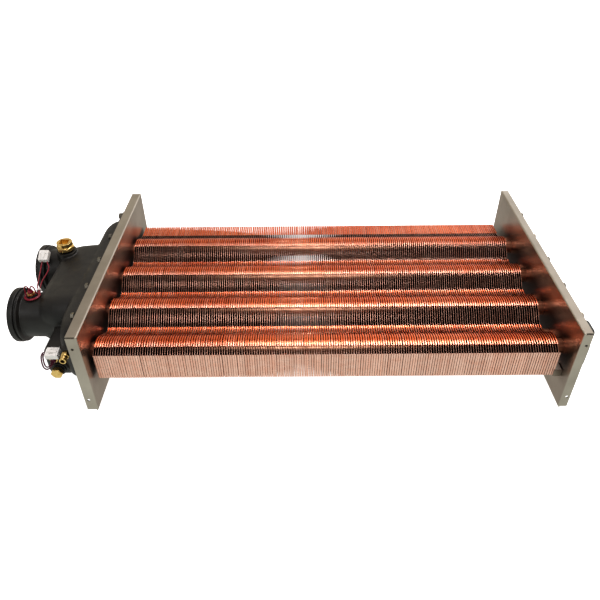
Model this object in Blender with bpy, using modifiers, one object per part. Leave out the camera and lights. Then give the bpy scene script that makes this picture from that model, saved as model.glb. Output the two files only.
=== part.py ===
"""Heat exchanger of a gas pool heater: a finned copper tube bundle between two folded
stainless end pans, with a moulded two-port header on one end and a return header on the other.

Run with: blender --background --python part.py
Metres, +Z up. +X runs from the water ports to the return header, +Y to the back. The origin is
the middle of the footprint, at the height of the pans' lower flanges, which it stands on.
"""

import math

import bmesh
import bpy
from mathutils import Euler, Matrix, Vector

# ---- driving dimensions ---------------------------------------------------------------------
GAP = 0.0003                 # clearance kept between pieces that touch

TUBE_SPAN = 0.686            # between the inner faces of the two end pans
PAN_DEPTH = 0.418
PAN_HEIGHT = 0.1435
PAN_SHEET = 0.0015
HEADER_PAN_FLANGE = 0.0161   # folded flange of the header side pan, sheet included
RETURN_PAN_FLANGE = 0.0127
PAN_FOLD_RADIUS = 0.0025
PAN_CORNER_RELIEF = 0.0022

PORT_REACH = 0.491           # from the middle of the bundle to the port faces
RETURN_REACH = 0.390         # from the middle of the bundle to the end of the return header
PORT_RING_PROUD = 0.0006     # how far the O-rings stand out of the port faces
MID_X = (PORT_REACH + PORT_RING_PROUD - RETURN_REACH) / 2
HEADER_PAN_X = MID_X - TUBE_SPAN / 2
RETURN_PAN_X = MID_X + TUBE_SPAN / 2
MID_Z = PAN_HEIGHT / 2

TUBE_PITCH = 0.090           # between two tubes of one row
TUBE_RADIUS = 0.0111
TUBE_WALL = 0.0013
TUBES_PER_ROW = 4
FIRST_UPPER_Y = -0.1633
ROW_OFFSET_Z = 0.00975       # each row's height above or below the middle
TUBE_STICK_OUT = 0.0025      # past the tube plate, into the header

PACK_FRONT_Y = -0.1877
PACK_BACK_Y = 0.1877
PACK_HEADER_GAP = 0.0045     # between the outermost fin and the header side pan
PACK_RETURN_GAP = 0.0090
CREST_Z = 0.0989
CREST_RADIUS = 0.034
VALLEY_Z = 0.0770
FRONT_FACE_TOP_Z = 0.0921
REAR_SHOULDER_Z = 0.0830
BOTTOM_Z = 0.0446
BOTTOM_VALLEY_Z = 0.0530

PLATE_THICK = 0.008          # tube plate that the tubes are rolled into
GASKET_THICK = 0.002
FLANGE_THICK = 0.012
FLANGE_FRONT_Y = -0.1915
FLANGE_BACK_Y = 0.1815
FLANGE_LOW_Z = 0.0095
FLANGE_HIGH_Z = 0.1340
FLANGE_CORNER = 0.034
BOLT_COUNT = 5               # in each of the two rows
BOLT_FIRST_Y = -0.143
BOLT_PITCH = 0.073
BOLT_HIGH_Z = 0.1280
BOLT_LOW_Z = 0.0155
BOLT_RADIUS = 0.003
BOLT_HEAD_RADIUS = 0.0056
BOLT_HEAD_THICK = 0.0045
BOLT_WASHER_RADIUS = 0.0058
BOLT_WASHER_THICK = 0.0010

HEADER_WALL = 0.005
PARTITION_Y = -0.0084
PARTITION_THICK = 0.006
PARTITION_CORNER = 0.008
NEAR_PORT_Y = -0.0718
FAR_PORT_Y = 0.0550
PORT_Z = 0.0749
PORT_NECK_RADIUS = 0.0355
PORT_FLANGE_RADIUS = 0.0435
PORT_BORE_RADIUS = 0.0255
PORT_RING_RADIUS = 0.0335    # centre of the O-ring in the port's end face
PORT_RING_WIRE = 0.00175

RETURN_FLANGE_THICK = 0.010
RETURN_HIGH_Z = 0.1285
RETURN_LOW_Z = 0.0150
RETURN_BOLT_HIGH_Z = 0.1215
RETURN_BOLT_LOW_Z = 0.0220

VALVE_OUT = 0.031            # of the bypass valve's axis from the flange's outer face
VALVE_HOLE_RADIUS = 0.013
CAGE_RADIUS = 0.022
CAGE_LENGTH = 0.034
POPPET_RADIUS = 0.0165
STEM_RADIUS = 0.0035
SPRING_RADIUS = 0.0090
SPRING_WIRE = 0.0008
SPRING_TURNS = 5

SENSOR_HEIGHT = 0.009        # of a sensor's head above its boss
LEAD_RADIUS = 0.0008
LEAD_POINT_SPACING = 0.0042
RING_START = 0.0084          # radius at which a lead starts round the upper sensor
RING_GROWTH = 0.0039         # and what it gains in a whole turn
RING_Z = 0.1122
LEAVE_ANGLE = math.radians(12)

ROUND_STEPS = 16
PORT_STEPS = 24
SMALL_STEPS = 10
BOLT_STEPS = 8
CORNER_STEPS = 3
RING_SIDES = 6

# the faces of the stacked pieces at each end, worked out from the pans outwards
PLATE_IN = TUBE_SPAN / 2 + PAN_SHEET + GAP
PLATE_OUT = PLATE_IN + PLATE_THICK
GASKET_IN = PLATE_OUT + GAP
GASKET_OUT = GASKET_IN + GASKET_THICK
FLANGE_IN = GASKET_OUT + GAP
FLANGE_OUT = FLANGE_IN + FLANGE_THICK
RETURN_FLANGE_OUT = FLANGE_IN + RETURN_FLANGE_THICK
HEADER_FLANGE_X = MID_X - FLANGE_OUT
PORT_FACE_X = MID_X - PORT_REACH
VALVE_X = HEADER_FLANGE_X - VALVE_OUT

ALONG_X = Euler((math.pi / 2, 0, math.pi / 2))    # a flat outline's x, y and z to Y, Z and X
FACE_LEFT = Euler((0, -math.pi / 2, 0))           # a turned shape's axis to -X
FACE_RIGHT = Euler((0, math.pi / 2, 0))
FACE_FRONT = Euler((math.pi / 2, 0, 0))           # a turned shape's axis to -Y
FACE_BACK = Euler((-math.pi / 2, 0, 0))
UPRIGHT = Euler((0, 0, 0))


# ---- materials and collections --------------------------------------------------------------
def make_material(name, colour, roughness, metallic):
    material = bpy.data.materials.new(name)
    material.use_nodes = True
    shader = material.node_tree.nodes["Principled BSDF"]
    shader.inputs["Base Color"].default_value = (*colour, 1.0)
    shader.inputs["Roughness"].default_value = roughness
    shader.inputs["Metallic"].default_value = metallic
    return material


def start_scene():
    for old in list(bpy.data.objects):
        bpy.data.objects.remove(old, do_unlink=True)
    for title in ("heat_exchanger", "cutters"):
        collection = bpy.data.collections.new(title)
        bpy.context.scene.collection.children.link(collection)


def put(obj, material=None):
    bpy.data.collections["heat_exchanger"].objects.link(obj)
    if material is not None:
        obj.data.materials.clear()
        obj.data.materials.append(material)
    return obj


def hide_helper(obj):
    for collection in list(obj.users_collection):
        collection.objects.unlink(obj)
    bpy.data.collections["cutters"].objects.link(obj)
    obj.hide_render = True
    obj.display_type = "WIRE"
    return obj


# ---- shapes ---------------------------------------------------------------------------------
def mesh_object(name, bm, material):
    mesh = bpy.data.meshes.new(name)
    bm.to_mesh(mesh)
    bm.free()
    return put(bpy.data.objects.new(name, mesh), material)


def box(name, low, high, material=None, bevel=0.0, bevel_axis=None):
    """A box between two corners; bevel rounds the four edges that lie along bevel_axis, or all."""
    bm = bmesh.new()
    bmesh.ops.create_cube(bm, size=1.0)
    size = Vector(high) - Vector(low)
    centre = (Vector(high) + Vector(low)) / 2
    bmesh.ops.scale(bm, vec=size, verts=bm.verts)
    bmesh.ops.translate(bm, vec=centre, verts=bm.verts)
    if bevel > 0:
        edges = list(bm.edges)
        if bevel_axis is not None:
            edges = [e for e in edges
                     if abs((e.verts[0].co - e.verts[1].co).normalized()[bevel_axis]) > 0.9]
        bmesh.ops.bevel(bm, geom=edges, offset=bevel, segments=3, profile=0.5, affect="EDGES")
    return mesh_object(name, bm, material)


def prism(name, centre, rotation, radius, length, sides, material=None):
    """A cylinder, or a hexagon with sides=6, from centre along the rotated +Z."""
    bm = bmesh.new()
    bmesh.ops.create_cone(bm, cap_ends=True, segments=sides, radius1=radius, radius2=radius,
                          depth=length)
    bmesh.ops.translate(bm, vec=(0, 0, length / 2), verts=bm.verts)
    obj = mesh_object(name, bm, material)
    obj.location = centre
    obj.rotation_euler = rotation
    return obj


def turned(name, profile, centre, rotation, material=None, closed=False, steps=ROUND_STEPS):
    """A profile of (radius, height) points, top to bottom down the outside, turned about Z."""
    bm = bmesh.new()
    points = [bm.verts.new((radius, 0, height)) for radius, height in profile]
    for first, second in zip(points, points[1:]):
        bm.edges.new((first, second))
    if closed:
        bm.edges.new((points[-1], points[0]))
    obj = mesh_object(name, bm, material)
    obj.location = centre
    obj.rotation_euler = rotation
    screw = obj.modifiers.new("turn", "SCREW")
    screw.steps = steps
    screw.render_steps = steps
    screw.use_merge_vertices = True
    screw.merge_threshold = 0.00001
    screw.use_smooth_shade = True
    return obj


def circle(centre, radius, steps):
    return [(centre[0] + radius * math.cos(2 * math.pi * i / steps),
             centre[1] + radius * math.sin(2 * math.pi * i / steps)) for i in range(steps)]


def arc(centre, radius, start, end, steps):
    """Points on an arc in degrees, both ends included."""
    angles = [math.radians(start + (end - start) * i / steps) for i in range(steps + 1)]
    return [(centre[0] + radius * math.cos(a), centre[1] + radius * math.sin(a)) for a in angles]


def rounded_rectangle(low, high, radius, steps):
    """Points from one corner arc to the next; radius may be a pair, for the low and high y sides."""
    low_r, high_r = radius if isinstance(radius, tuple) else (radius, radius)
    corners = ((high[0] - high_r, high[1] - high_r, high_r, 0),
               (low[0] + low_r, high[1] - low_r, low_r, 90),
               (low[0] + low_r, low[1] + low_r, low_r, 180),
               (high[0] - high_r, low[1] + high_r, high_r, 270))
    points = []
    for y, z, corner_radius, start in corners:
        points += arc((y, z), corner_radius, start, start + 90, steps)
    return points


def flat_plate(name, outlines, x_low, x_high, material=None):
    """A plate across X from outlines of (y, z) points; every outline after the first is a hole."""
    curve = bpy.data.curves.new(name, "CURVE")
    curve.dimensions = "2D"
    curve.fill_mode = "BOTH"
    curve.extrude = (x_high - x_low) / 2
    for outline in outlines:
        spline = curve.splines.new("POLY")
        spline.points.add(len(outline) - 1)
        for point, (y, z) in zip(spline.points, outline):
            point.co = (y, z, 0, 1)
        spline.use_cyclic_u = True
    guide = put(bpy.data.objects.new(name + "_outline", curve))
    guide.location = ((x_low + x_high) / 2, 0, 0)
    guide.rotation_euler = ALONG_X
    obj = as_mesh(guide, name)
    return put_material(obj, material)


def put_material(obj, material):
    obj.data.materials.clear()
    if material is not None:
        obj.data.materials.append(material)
    return obj


def as_mesh(source, name):
    """Replace an object, curve or mesh with modifiers, by its welded evaluated mesh."""
    bpy.context.view_layer.update()
    evaluated = source.evaluated_get(bpy.context.evaluated_depsgraph_get())
    mesh = bpy.data.meshes.new_from_object(evaluated)
    bm = bmesh.new()
    bm.from_mesh(mesh)
    bmesh.ops.remove_doubles(bm, verts=bm.verts, dist=0.00001)
    bm.to_mesh(mesh)
    bm.free()
    matrix = source.matrix_world.copy()
    bpy.data.objects.remove(source, do_unlink=True)
    obj = put(bpy.data.objects.new(name, mesh))
    obj.matrix_world = matrix
    obj.data.name = name
    return obj


def loft(name, sections, material=None, corner_steps=CORNER_STEPS):
    """A skin through rounded rectangles; a section is (x, y low, y high, z low, z high, radius)."""
    bm = bmesh.new()
    rings = []
    for x, y_low, y_high, z_low, z_high, radius in sections:
        outline = rounded_rectangle((y_low, z_low), (y_high, z_high), radius, corner_steps)
        rings.append([bm.verts.new((x, y, z)) for y, z in outline])
    count = len(rings[0])
    for ring, following in zip(rings, rings[1:]):
        for i in range(count):
            j = (i + 1) % count
            bm.faces.new((ring[i], ring[j], following[j], following[i]))
    bm.faces.new(rings[0])
    bm.faces.new(list(reversed(rings[-1])))
    bmesh.ops.recalc_face_normals(bm, faces=bm.faces)
    return mesh_object(name, bm, material)


def join_with(obj, *helpers, operation="UNION"):
    for helper in helpers:
        step = obj.modifiers.new(helper.name, "BOOLEAN")
        step.operation = operation
        step.object = hide_helper(helper)


def cut_with(obj, *helpers):
    join_with(obj, *helpers, operation="DIFFERENCE")


def sharpen(obj, angle=35):
    obj.data.shade_smooth()
    obj.data.set_sharp_from_angle(angle=math.radians(angle))
    return obj


# ---- the bundle -----------------------------------------------------------------------------
def tube_places():
    """(row name, number, y, z) of every tube."""
    places = []
    for number in range(TUBES_PER_ROW):
        y = FIRST_UPPER_Y + number * TUBE_PITCH
        places.append(("upper", number + 1, y, MID_Z + ROW_OFFSET_Z))
        places.append(("lower", number + 1, y + TUBE_PITCH / 2, MID_Z - ROW_OFFSET_Z))
    return places


def tube_holes(radius, steps=ROUND_STEPS):
    return [circle((y, z), radius, steps) for _, _, y, z in tube_places()]


def make_tubes(material):
    length = 2 * (PLATE_OUT + TUBE_STICK_OUT)
    inner = TUBE_RADIUS - TUBE_WALL
    wall = [(inner, length), (TUBE_RADIUS, length), (TUBE_RADIUS, 0), (inner, 0)]
    for row, number, y, z in tube_places():
        turned(f"{row}_tube_{number}", wall, (MID_X - length / 2, y, z), FACE_RIGHT, material,
               closed=True)


def wave_top():
    """The fins' upper edge from front to back: crests over the upper tubes, valleys between."""
    crest_z = CREST_Z - CREST_RADIUS
    half = TUBE_PITCH / 2
    rise = VALLEY_Z - crest_z
    valley_radius = (half ** 2 + rise ** 2 - CREST_RADIUS ** 2) / (2 * (CREST_RADIUS - rise))
    valley_z = VALLEY_Z + valley_radius
    lean = math.degrees(math.atan2(valley_z - crest_z, half))
    points = [(PACK_FRONT_Y, FRONT_FACE_TOP_Z - 0.002)]
    face_angle = math.degrees(math.acos((PACK_FRONT_Y - FIRST_UPPER_Y + 0.0015) / CREST_RADIUS))
    for number in range(TUBES_PER_ROW):
        crest_y = FIRST_UPPER_Y + number * TUBE_PITCH
        start = face_angle if number == 0 else 180 - lean
        points += arc((crest_y, crest_z), CREST_RADIUS, start, lean, 6)
        valley = arc((crest_y + half, valley_z), valley_radius, 180 + lean, 360 - lean, 4)
        if number < TUBES_PER_ROW - 1:
            points += valley[1:-1]
    points += [(crest_y + half, REAR_SHOULDER_Z), (PACK_BACK_Y - 0.003, REAR_SHOULDER_Z),
               (PACK_BACK_Y, REAR_SHOULDER_Z - 0.003)]
    return points


def wave_bottom():
    """The fins' lower edge from back to front: flat, with shallow valleys under the upper tubes."""
    points = [(PACK_BACK_Y, BOTTOM_Z + 0.003), (PACK_BACK_Y - 0.003, BOTTOM_Z)]
    for number in reversed(range(1, TUBES_PER_ROW)):
        y = FIRST_UPPER_Y + number * TUBE_PITCH
        depth = BOTTOM_VALLEY_Z - BOTTOM_Z
        for step in range(9):
            shift = math.cos(math.pi * step / 8) * TUBE_PITCH * 0.35
            points.append((y + shift, BOTTOM_Z + depth * math.sin(math.pi * step / 8) ** 2))
    points += [(PACK_FRONT_Y + 0.002, BOTTOM_Z), (PACK_FRONT_Y, BOTTOM_Z + 0.002)]
    return points


def make_fin_pack(material):
    outline = wave_top() + wave_bottom()
    flat_plate("fin_pack", [outline] + tube_holes(TUBE_RADIUS + GAP),
               HEADER_PAN_X + PACK_HEADER_GAP, RETURN_PAN_X - PACK_RETURN_GAP, material)


def make_pan(name, inner_x, outward, flange, material):
    """A folded pan: a web across the tubes, with four flanges folded away from the fins."""
    half = PAN_DEPTH / 2
    reach = inner_x + outward * flange
    low = (min(inner_x, reach), -half, 0)
    high = (max(inner_x, reach), half, PAN_HEIGHT)
    pan = box(name, low, high, material)
    fold = pan.modifiers.new("fold_radius", "BEVEL")
    fold.width = PAN_FOLD_RADIUS
    fold.segments = 3
    fold.limit_method = "WEIGHT"
    weights = pan.data.attributes.new("bevel_weight_edge", "FLOAT", "EDGE")
    for edge in pan.data.edges:
        ends = [pan.data.vertices[i].co.x for i in edge.vertices]
        weights.data[edge.index].value = float(all(abs(x - inner_x) < GAP for x in ends))
    inside = [inner_x + outward * PAN_SHEET, reach + outward * 0.01]
    room = box(name + "_room", (min(inside), -half + PAN_SHEET, PAN_SHEET),
               (max(inside), half - PAN_SHEET, PAN_HEIGHT - PAN_SHEET))
    cut_with(pan, room)
    start = inner_x + outward * PAN_FOLD_RADIUS
    for y in (-half, half):
        for z in (0, PAN_HEIGHT):
            relief = box(f"{name}_relief", (min(start, inside[1]), y - PAN_CORNER_RELIEF,
                                            z - PAN_CORNER_RELIEF),
                         (max(start, inside[1]), y + PAN_CORNER_RELIEF, z + PAN_CORNER_RELIEF))
            cut_with(pan, relief)
    for _, _, y, z in tube_places():
        hole = prism(f"{name}_tube_hole", (inner_x - 0.01, y, z), FACE_RIGHT,
                     TUBE_RADIUS + GAP, 0.02, ROUND_STEPS)
        cut_with(pan, hole)
    hole_x = inner_x + outward * flange * 0.62
    for z in (0.022, 0.122):
        hole = prism(f"{name}_screw_hole", (hole_x, -half - 0.01, z), FACE_BACK, 0.0022, 0.02, BOLT_STEPS)
        cut_with(pan, hole)
    return pan


def bolt_places(low_z, high_z):
    rows = ((("lower", low_z), ("upper", high_z)))
    return [(row, number + 1, BOLT_FIRST_Y + number * BOLT_PITCH, z)
            for row, z in rows for number in range(BOLT_COUNT)]


def make_tube_plate(name, side, bolts, low_z, high_z, material):
    outline = rounded_rectangle((FLANGE_FRONT_Y, low_z), (FLANGE_BACK_Y, high_z), FLANGE_CORNER, CORNER_STEPS)
    holes = tube_holes(TUBE_RADIUS + GAP)
    holes += [circle((y, z), BOLT_RADIUS + GAP, BOLT_STEPS) for _, _, y, z in bolts]
    faces = sorted((MID_X + side * PLATE_IN, MID_X + side * PLATE_OUT))
    flat_plate(name, [outline] + holes, *faces, material)


def make_gasket(name, side, bolts, low_z, high_z, openings, material):
    outline = rounded_rectangle((FLANGE_FRONT_Y, low_z), (FLANGE_BACK_Y, high_z), FLANGE_CORNER, CORNER_STEPS)
    holes = list(openings)
    holes += [circle((y, z), BOLT_RADIUS + GAP, BOLT_STEPS) for _, _, y, z in bolts]
    faces = sorted((MID_X + side * GASKET_IN, MID_X + side * GASKET_OUT))
    flat_plate(name, [outline] + holes, *faces, material)


def make_bolts(prefix, side, bolts, flange_out, material):
    """Flanged hex bolts through a header flange and its gasket, into the tube plate."""
    shank = flange_out - PLATE_IN
    washer = BOLT_WASHER_THICK
    profile = [(0, washer), (BOLT_WASHER_RADIUS, washer), (BOLT_WASHER_RADIUS, 0),
               (BOLT_RADIUS, 0), (BOLT_RADIUS, -shank), (0, -shank)]
    master = turned(prefix + "_master", profile, (0, 0, 0), UPRIGHT, material, steps=BOLT_STEPS)
    head = prism(prefix + "_hex", (0, 0, washer / 2), UPRIGHT, BOLT_HEAD_RADIUS,
                 BOLT_HEAD_THICK + washer / 2, 6)
    join_with(master, head)
    mesh_source = as_mesh(master, prefix + "_shape")
    mesh = sharpen(put_material(mesh_source, material)).data
    bpy.data.objects.remove(mesh_source, do_unlink=True)
    for row, number, y, z in bolts:
        bolt = put(bpy.data.objects.new(f"{prefix}_{row}_{number}", mesh))
        bolt.location = (MID_X + side * (flange_out + GAP), y, z)
        bolt.rotation_euler = FACE_RIGHT if side > 0 else FACE_LEFT


# ---- the two-port header ----------------------------------------------------------------------
# outward distance from the flange, y low, y high, z low, z high, corner radius
CHAMBER_SHAPE = (
    (-0.0020, -0.1810, 0.1710, 0.0225, 0.1210, 0.034),
    (0.0080, -0.1805, 0.1690, 0.0225, 0.1210, 0.034),
    (0.0130, -0.1790, 0.1660, 0.0227, 0.1208, 0.034),
    (0.0180, -0.1745, 0.1610, 0.0235, 0.1200, 0.034),
    (0.0225, -0.1670, 0.1530, 0.0250, 0.1185, 0.034),
    (0.0258, -0.1560, 0.1420, 0.0280, 0.1155, 0.033),
    (0.0275, -0.1440, 0.1290, 0.0320, 0.1115, 0.032),
)
BODY_SHAPE = (
    (0.0100, -0.1075, 0.0880, 0.0260, 0.1190, 0.030),
    (0.0325, -0.1080, 0.0875, 0.0265, 0.1185, 0.030),
    (0.0540, -0.1075, 0.0865, 0.0285, 0.1170, 0.030),
    (0.0700, -0.1055, 0.0850, 0.0310, 0.1142, 0.031),
    (0.0790, -0.1015, 0.0815, 0.0350, 0.1105, 0.031),
    (0.0830, -0.0945, 0.0755, 0.0405, 0.1045, 0.029),
)
PORT_ROOT_OUT = 0.0400       # where a port's neck starts inside the body
BLOCK_LOW = (0.0560, -0.1655, 0.0300)    # outward distance, y and z of the sensor block's corners
BLOCK_HIGH = (0.0150, -0.0900, 0.0805)


def outside_of(shape):
    return [(HEADER_FLANGE_X - out, *rest) for out, *rest in shape]


def hollow(name, shape, y_from=None, y_to=None, mouth_x=None):
    """A shape shrunk by the wall and cut off at the partition; mouth_x runs it out to that x."""
    sections = []
    for x, y_low, y_high, z_low, z_high, radius in outside_of(shape)[:-1]:
        low = y_low + HEADER_WALL if y_from is None else y_from
        high = y_high - HEADER_WALL if y_to is None else y_to
        corners = (radius - HEADER_WALL if y_from is None else PARTITION_CORNER,
                   radius - HEADER_WALL if y_to is None else PARTITION_CORNER)
        sections.append((x, low, high, z_low + HEADER_WALL, z_high - HEADER_WALL, corners))
    if mouth_x is not None:
        sections.insert(0, (mouth_x, *sections[0][1:]))
    return loft(name, sections)


def port_shape():
    """The outside of a port from its end face inwards, as (radius, distance from its root)."""
    reach = HEADER_FLANGE_X - PORT_ROOT_OUT - PORT_FACE_X
    rim = PORT_FLANGE_RADIUS
    return [(0, reach), (rim - 0.0015, reach), (rim, reach - 0.0015), (rim, reach - 0.0085),
            (rim - 0.0035, reach - 0.0090), (rim - 0.0035, reach - 0.0110), (rim - 0.001, reach - 0.0115),
            (rim - 0.001, reach - 0.0140), (PORT_NECK_RADIUS, reach - 0.0160), (PORT_NECK_RADIUS, 0),
            (0, 0)]


# centres of the bosses' faces
PLUG_PLACE = Vector((MID_X - 0.440, 0.045, 0.1215))
SENSOR_PLACE = Vector((MID_X - 0.4605, NEAR_PORT_Y, 0.1140))
SWITCH_PLACE = Vector((MID_X - 0.3765, -0.1850, 0.0925))
LOW_SENSOR_PLACE = Vector((MID_X - 0.4040, -0.1690, 0.0700))
DRAIN_PLACE = Vector((MID_X - 0.4040, -0.1690, 0.0460))
# name, face centre, direction, boss radius, bore radius, how deep the boss reaches, bore depth
BOSSES = (
    ("plug_boss", PLUG_PLACE, UPRIGHT, 0.0165, 0.0080, 0.014, 0.026),
    ("sensor_boss", SENSOR_PLACE, UPRIGHT, 0.0062, 0.0033, 0.012, 0.026),
    ("switch_boss", SWITCH_PLACE, FACE_FRONT, 0.0085, 0.0043, 0.014, 0.030),
    ("low_sensor_boss", LOW_SENSOR_PLACE, FACE_FRONT, 0.0075, 0.0033, 0.014, 0.070),
    ("drain_boss", DRAIN_PLACE, FACE_FRONT, 0.0110, 0.0060, 0.014, 0.070),
)


def axis_of(rotation):
    return rotation.to_matrix() @ Vector((0, 0, 1))


def make_header(material):
    body = loft("header_body", outside_of(CHAMBER_SHAPE), material)
    flange = flat_plate("header_flange", [rounded_rectangle((FLANGE_FRONT_Y, FLANGE_LOW_Z),
                                                           (FLANGE_BACK_Y, FLANGE_HIGH_Z),
                                                           FLANGE_CORNER, CORNER_STEPS)],
                        HEADER_FLANGE_X, MID_X - FLANGE_IN)
    block = box("sensor_block", (HEADER_FLANGE_X - BLOCK_LOW[0], *BLOCK_LOW[1:]),
                (HEADER_FLANGE_X - BLOCK_HIGH[0], *BLOCK_HIGH[1:]), bevel=0.009)
    join_with(body, flange, loft("port_body", outside_of(BODY_SHAPE)), block)
    root_x = HEADER_FLANGE_X - PORT_ROOT_OUT
    for y in (NEAR_PORT_Y, FAR_PORT_Y):
        join_with(body, turned("port", port_shape(), (root_x, y, PORT_Z), FACE_LEFT, steps=PORT_STEPS))
    for name, place, rotation, radius, _, depth, _ in BOSSES:
        root = place - axis_of(rotation) * depth
        join_with(body, prism(name, root, rotation, radius, depth, SMALL_STEPS))
    mouth_x = MID_X - FLANGE_IN + 0.01
    partition_front = PARTITION_Y - PARTITION_THICK / 2
    partition_back = PARTITION_Y + PARTITION_THICK / 2
    cut_with(body, hollow("inlet_chamber", CHAMBER_SHAPE, y_to=partition_front, mouth_x=mouth_x),
             hollow("outlet_chamber", CHAMBER_SHAPE, y_from=partition_back, mouth_x=mouth_x),
             hollow("inlet_passage", BODY_SHAPE, y_to=partition_front),
             hollow("outlet_passage", BODY_SHAPE, y_from=partition_back))
    for y in (NEAR_PORT_Y, FAR_PORT_Y):
        bore = prism("port_bore", (HEADER_FLANGE_X - 0.060, y, PORT_Z), FACE_LEFT,
                     PORT_BORE_RADIUS, 0.1, PORT_STEPS)
        half = PORT_RING_WIRE + GAP
        depth = 2 * PORT_RING_WIRE - PORT_RING_PROUD + GAP
        groove = [(PORT_RING_RADIUS - half, 0.002), (PORT_RING_RADIUS + half, 0.002),
                  (PORT_RING_RADIUS + half, -depth), (PORT_RING_RADIUS - half, -depth)]
        cut_with(body, bore, turned("port_ring_groove", groove, (PORT_FACE_X, y, PORT_Z),
                                    FACE_LEFT, closed=True, steps=PORT_STEPS))
    for name, place, rotation, _, bore_radius, _, bore_depth in BOSSES:
        start = place - axis_of(rotation) * bore_depth
        cut_with(body, prism(name + "_bore", start, rotation, bore_radius, bore_depth + 0.002,
                             SMALL_STEPS))
    valve = prism("bypass_hole", (VALVE_X, PARTITION_Y - 0.01, MID_Z), FACE_BACK,
                  VALVE_HOLE_RADIUS, 0.02, ROUND_STEPS)
    cut_with(body, valve)
    for _, _, y, z in bolt_places(BOLT_LOW_Z, BOLT_HIGH_Z):
        cut_with(body, prism("bolt_hole", (HEADER_FLANGE_X - 0.004, y, z), FACE_RIGHT,
                             BOLT_RADIUS + GAP, 0.03, BOLT_STEPS))
    return body


def make_port_rings(material):
    for name, y in (("near_port_o_ring", NEAR_PORT_Y), ("far_port_o_ring", FAR_PORT_Y)):
        wire = [(PORT_RING_RADIUS + r, h) for r, h in
                reversed(circle((0, 0), PORT_RING_WIRE, RING_SIDES))]
        turned(name, wire, (PORT_FACE_X + PORT_RING_WIRE - PORT_RING_PROUD, y, PORT_Z), FACE_LEFT,
               material, closed=True, steps=PORT_STEPS)


# ---- the bypass valve in the partition ----------------------------------------------------------
def make_bypass(brass, plastic, steel):
    base = (VALVE_X, PARTITION_Y + PARTITION_THICK / 2 + GAP, MID_Z)
    inner = CAGE_RADIUS - 0.004
    cap = 0.003
    cage = turned("bypass_cage", [(STEM_RADIUS + 0.001, CAGE_LENGTH), (CAGE_RADIUS, CAGE_LENGTH),
                                  (CAGE_RADIUS, 0), (inner, 0), (inner, CAGE_LENGTH - cap),
                                  (STEM_RADIUS + 0.001, CAGE_LENGTH - cap)],
                  base, FACE_BACK, plastic, closed=True)
    y_low = base[1] + 0.007
    y_high = base[1] + CAGE_LENGTH - 0.006
    window = 0.011
    reach = CAGE_RADIUS + 0.01
    for name, half_x, half_z in (("cage_window_x", reach, window), ("cage_window_z", window, reach)):
        cut_with(cage, box(name, (base[0] - half_x, y_low, base[2] - half_z),
                           (base[0] + half_x, y_high, base[2] + half_z)))
    disc = 0.004
    end = CAGE_LENGTH + 0.004
    turned("bypass_poppet", [(0, end), (STEM_RADIUS - 0.0007, end), (STEM_RADIUS, end - 0.0007),
                             (STEM_RADIUS, disc), (POPPET_RADIUS - 0.0008, disc),
                             (POPPET_RADIUS, disc - 0.0008), (POPPET_RADIUS, 0), (0, 0)],
           base, FACE_BACK, brass)
    make_spring("bypass_spring", base, disc + GAP + SPRING_WIRE,
                CAGE_LENGTH - cap - GAP - SPRING_WIRE, steel)


def make_spring(name, base, low, high, material):
    """A coil about the +Y axis through base, one turn of closed coil at each end."""
    per_turn = 10
    total = SPRING_TURNS * per_turn
    curve = bpy.data.curves.new(name, "CURVE")
    curve.dimensions = "3D"
    curve.bevel_depth = SPRING_WIRE
    curve.bevel_resolution = 1
    curve.use_fill_caps = True
    curve.resolution_u = 1
    spline = curve.splines.new("POLY")
    spline.points.add(total)
    for i, point in enumerate(spline.points):
        angle = 2 * math.pi * i / per_turn
        height = low + (high - low) * i / total
        point.co = (SPRING_RADIUS * math.cos(angle), height, SPRING_RADIUS * math.sin(angle), 1)
    spring = put(bpy.data.objects.new(name, curve), material)
    spring.location = base


# ---- plugs, sensors and the pressure tap --------------------------------------------------------
def o_ring(name, place, rotation, radius, wire, material):
    outline = [(radius + r, wire + h) for r, h in reversed(circle((0, 0), wire, RING_SIDES))]
    centre = place + axis_of(rotation) * GAP
    turned(name, outline, centre, rotation, material, closed=True, steps=ROUND_STEPS)


def screwed_piece(name, place, rotation, shank_radius, shank_length, profile, hex_radius, hex_low,
                  hex_high, material):
    """A turned piece with a hexagon round it; heights are above the boss's face."""
    outline = profile + [(shank_radius, profile[-1][1]), (shank_radius, -shank_length + 0.0008),
                         (shank_radius - 0.0008, -shank_length), (0, -shank_length)]
    piece = turned(name, outline, place, rotation, material, steps=SMALL_STEPS)
    hexagon = prism(name + "_hexagon", place + axis_of(rotation) * hex_low, rotation, hex_radius,
                    hex_high - hex_low, 6)
    join_with(piece, hexagon)
    return piece


def make_plug(brass, rubber):
    ring = 0.0012
    seat = 2 * ring + 2 * GAP
    profile = [(0, 0.0166), (0.0120, 0.0166), (0.0128, 0.0158), (0.0128, 0.0096),
               (0.0132, 0.0090), (0.0132, seat)]
    plug = screwed_piece("upper_brass_plug", PLUG_PLACE, UPRIGHT, 0.0076, 0.013, profile,
                         0.0155, seat + 0.0002, 0.0092, brass)
    recess = 0.0072
    top = PLUG_PLACE.z + 0.018
    cut_with(plug, box("plug_square", (PLUG_PLACE.x - recess, PLUG_PLACE.y - recess, top - 0.010),
                       (PLUG_PLACE.x + recess, PLUG_PLACE.y + recess, top)))
    o_ring("upper_plug_o_ring", PLUG_PLACE, UPRIGHT, 0.0096, ring, rubber)


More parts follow.
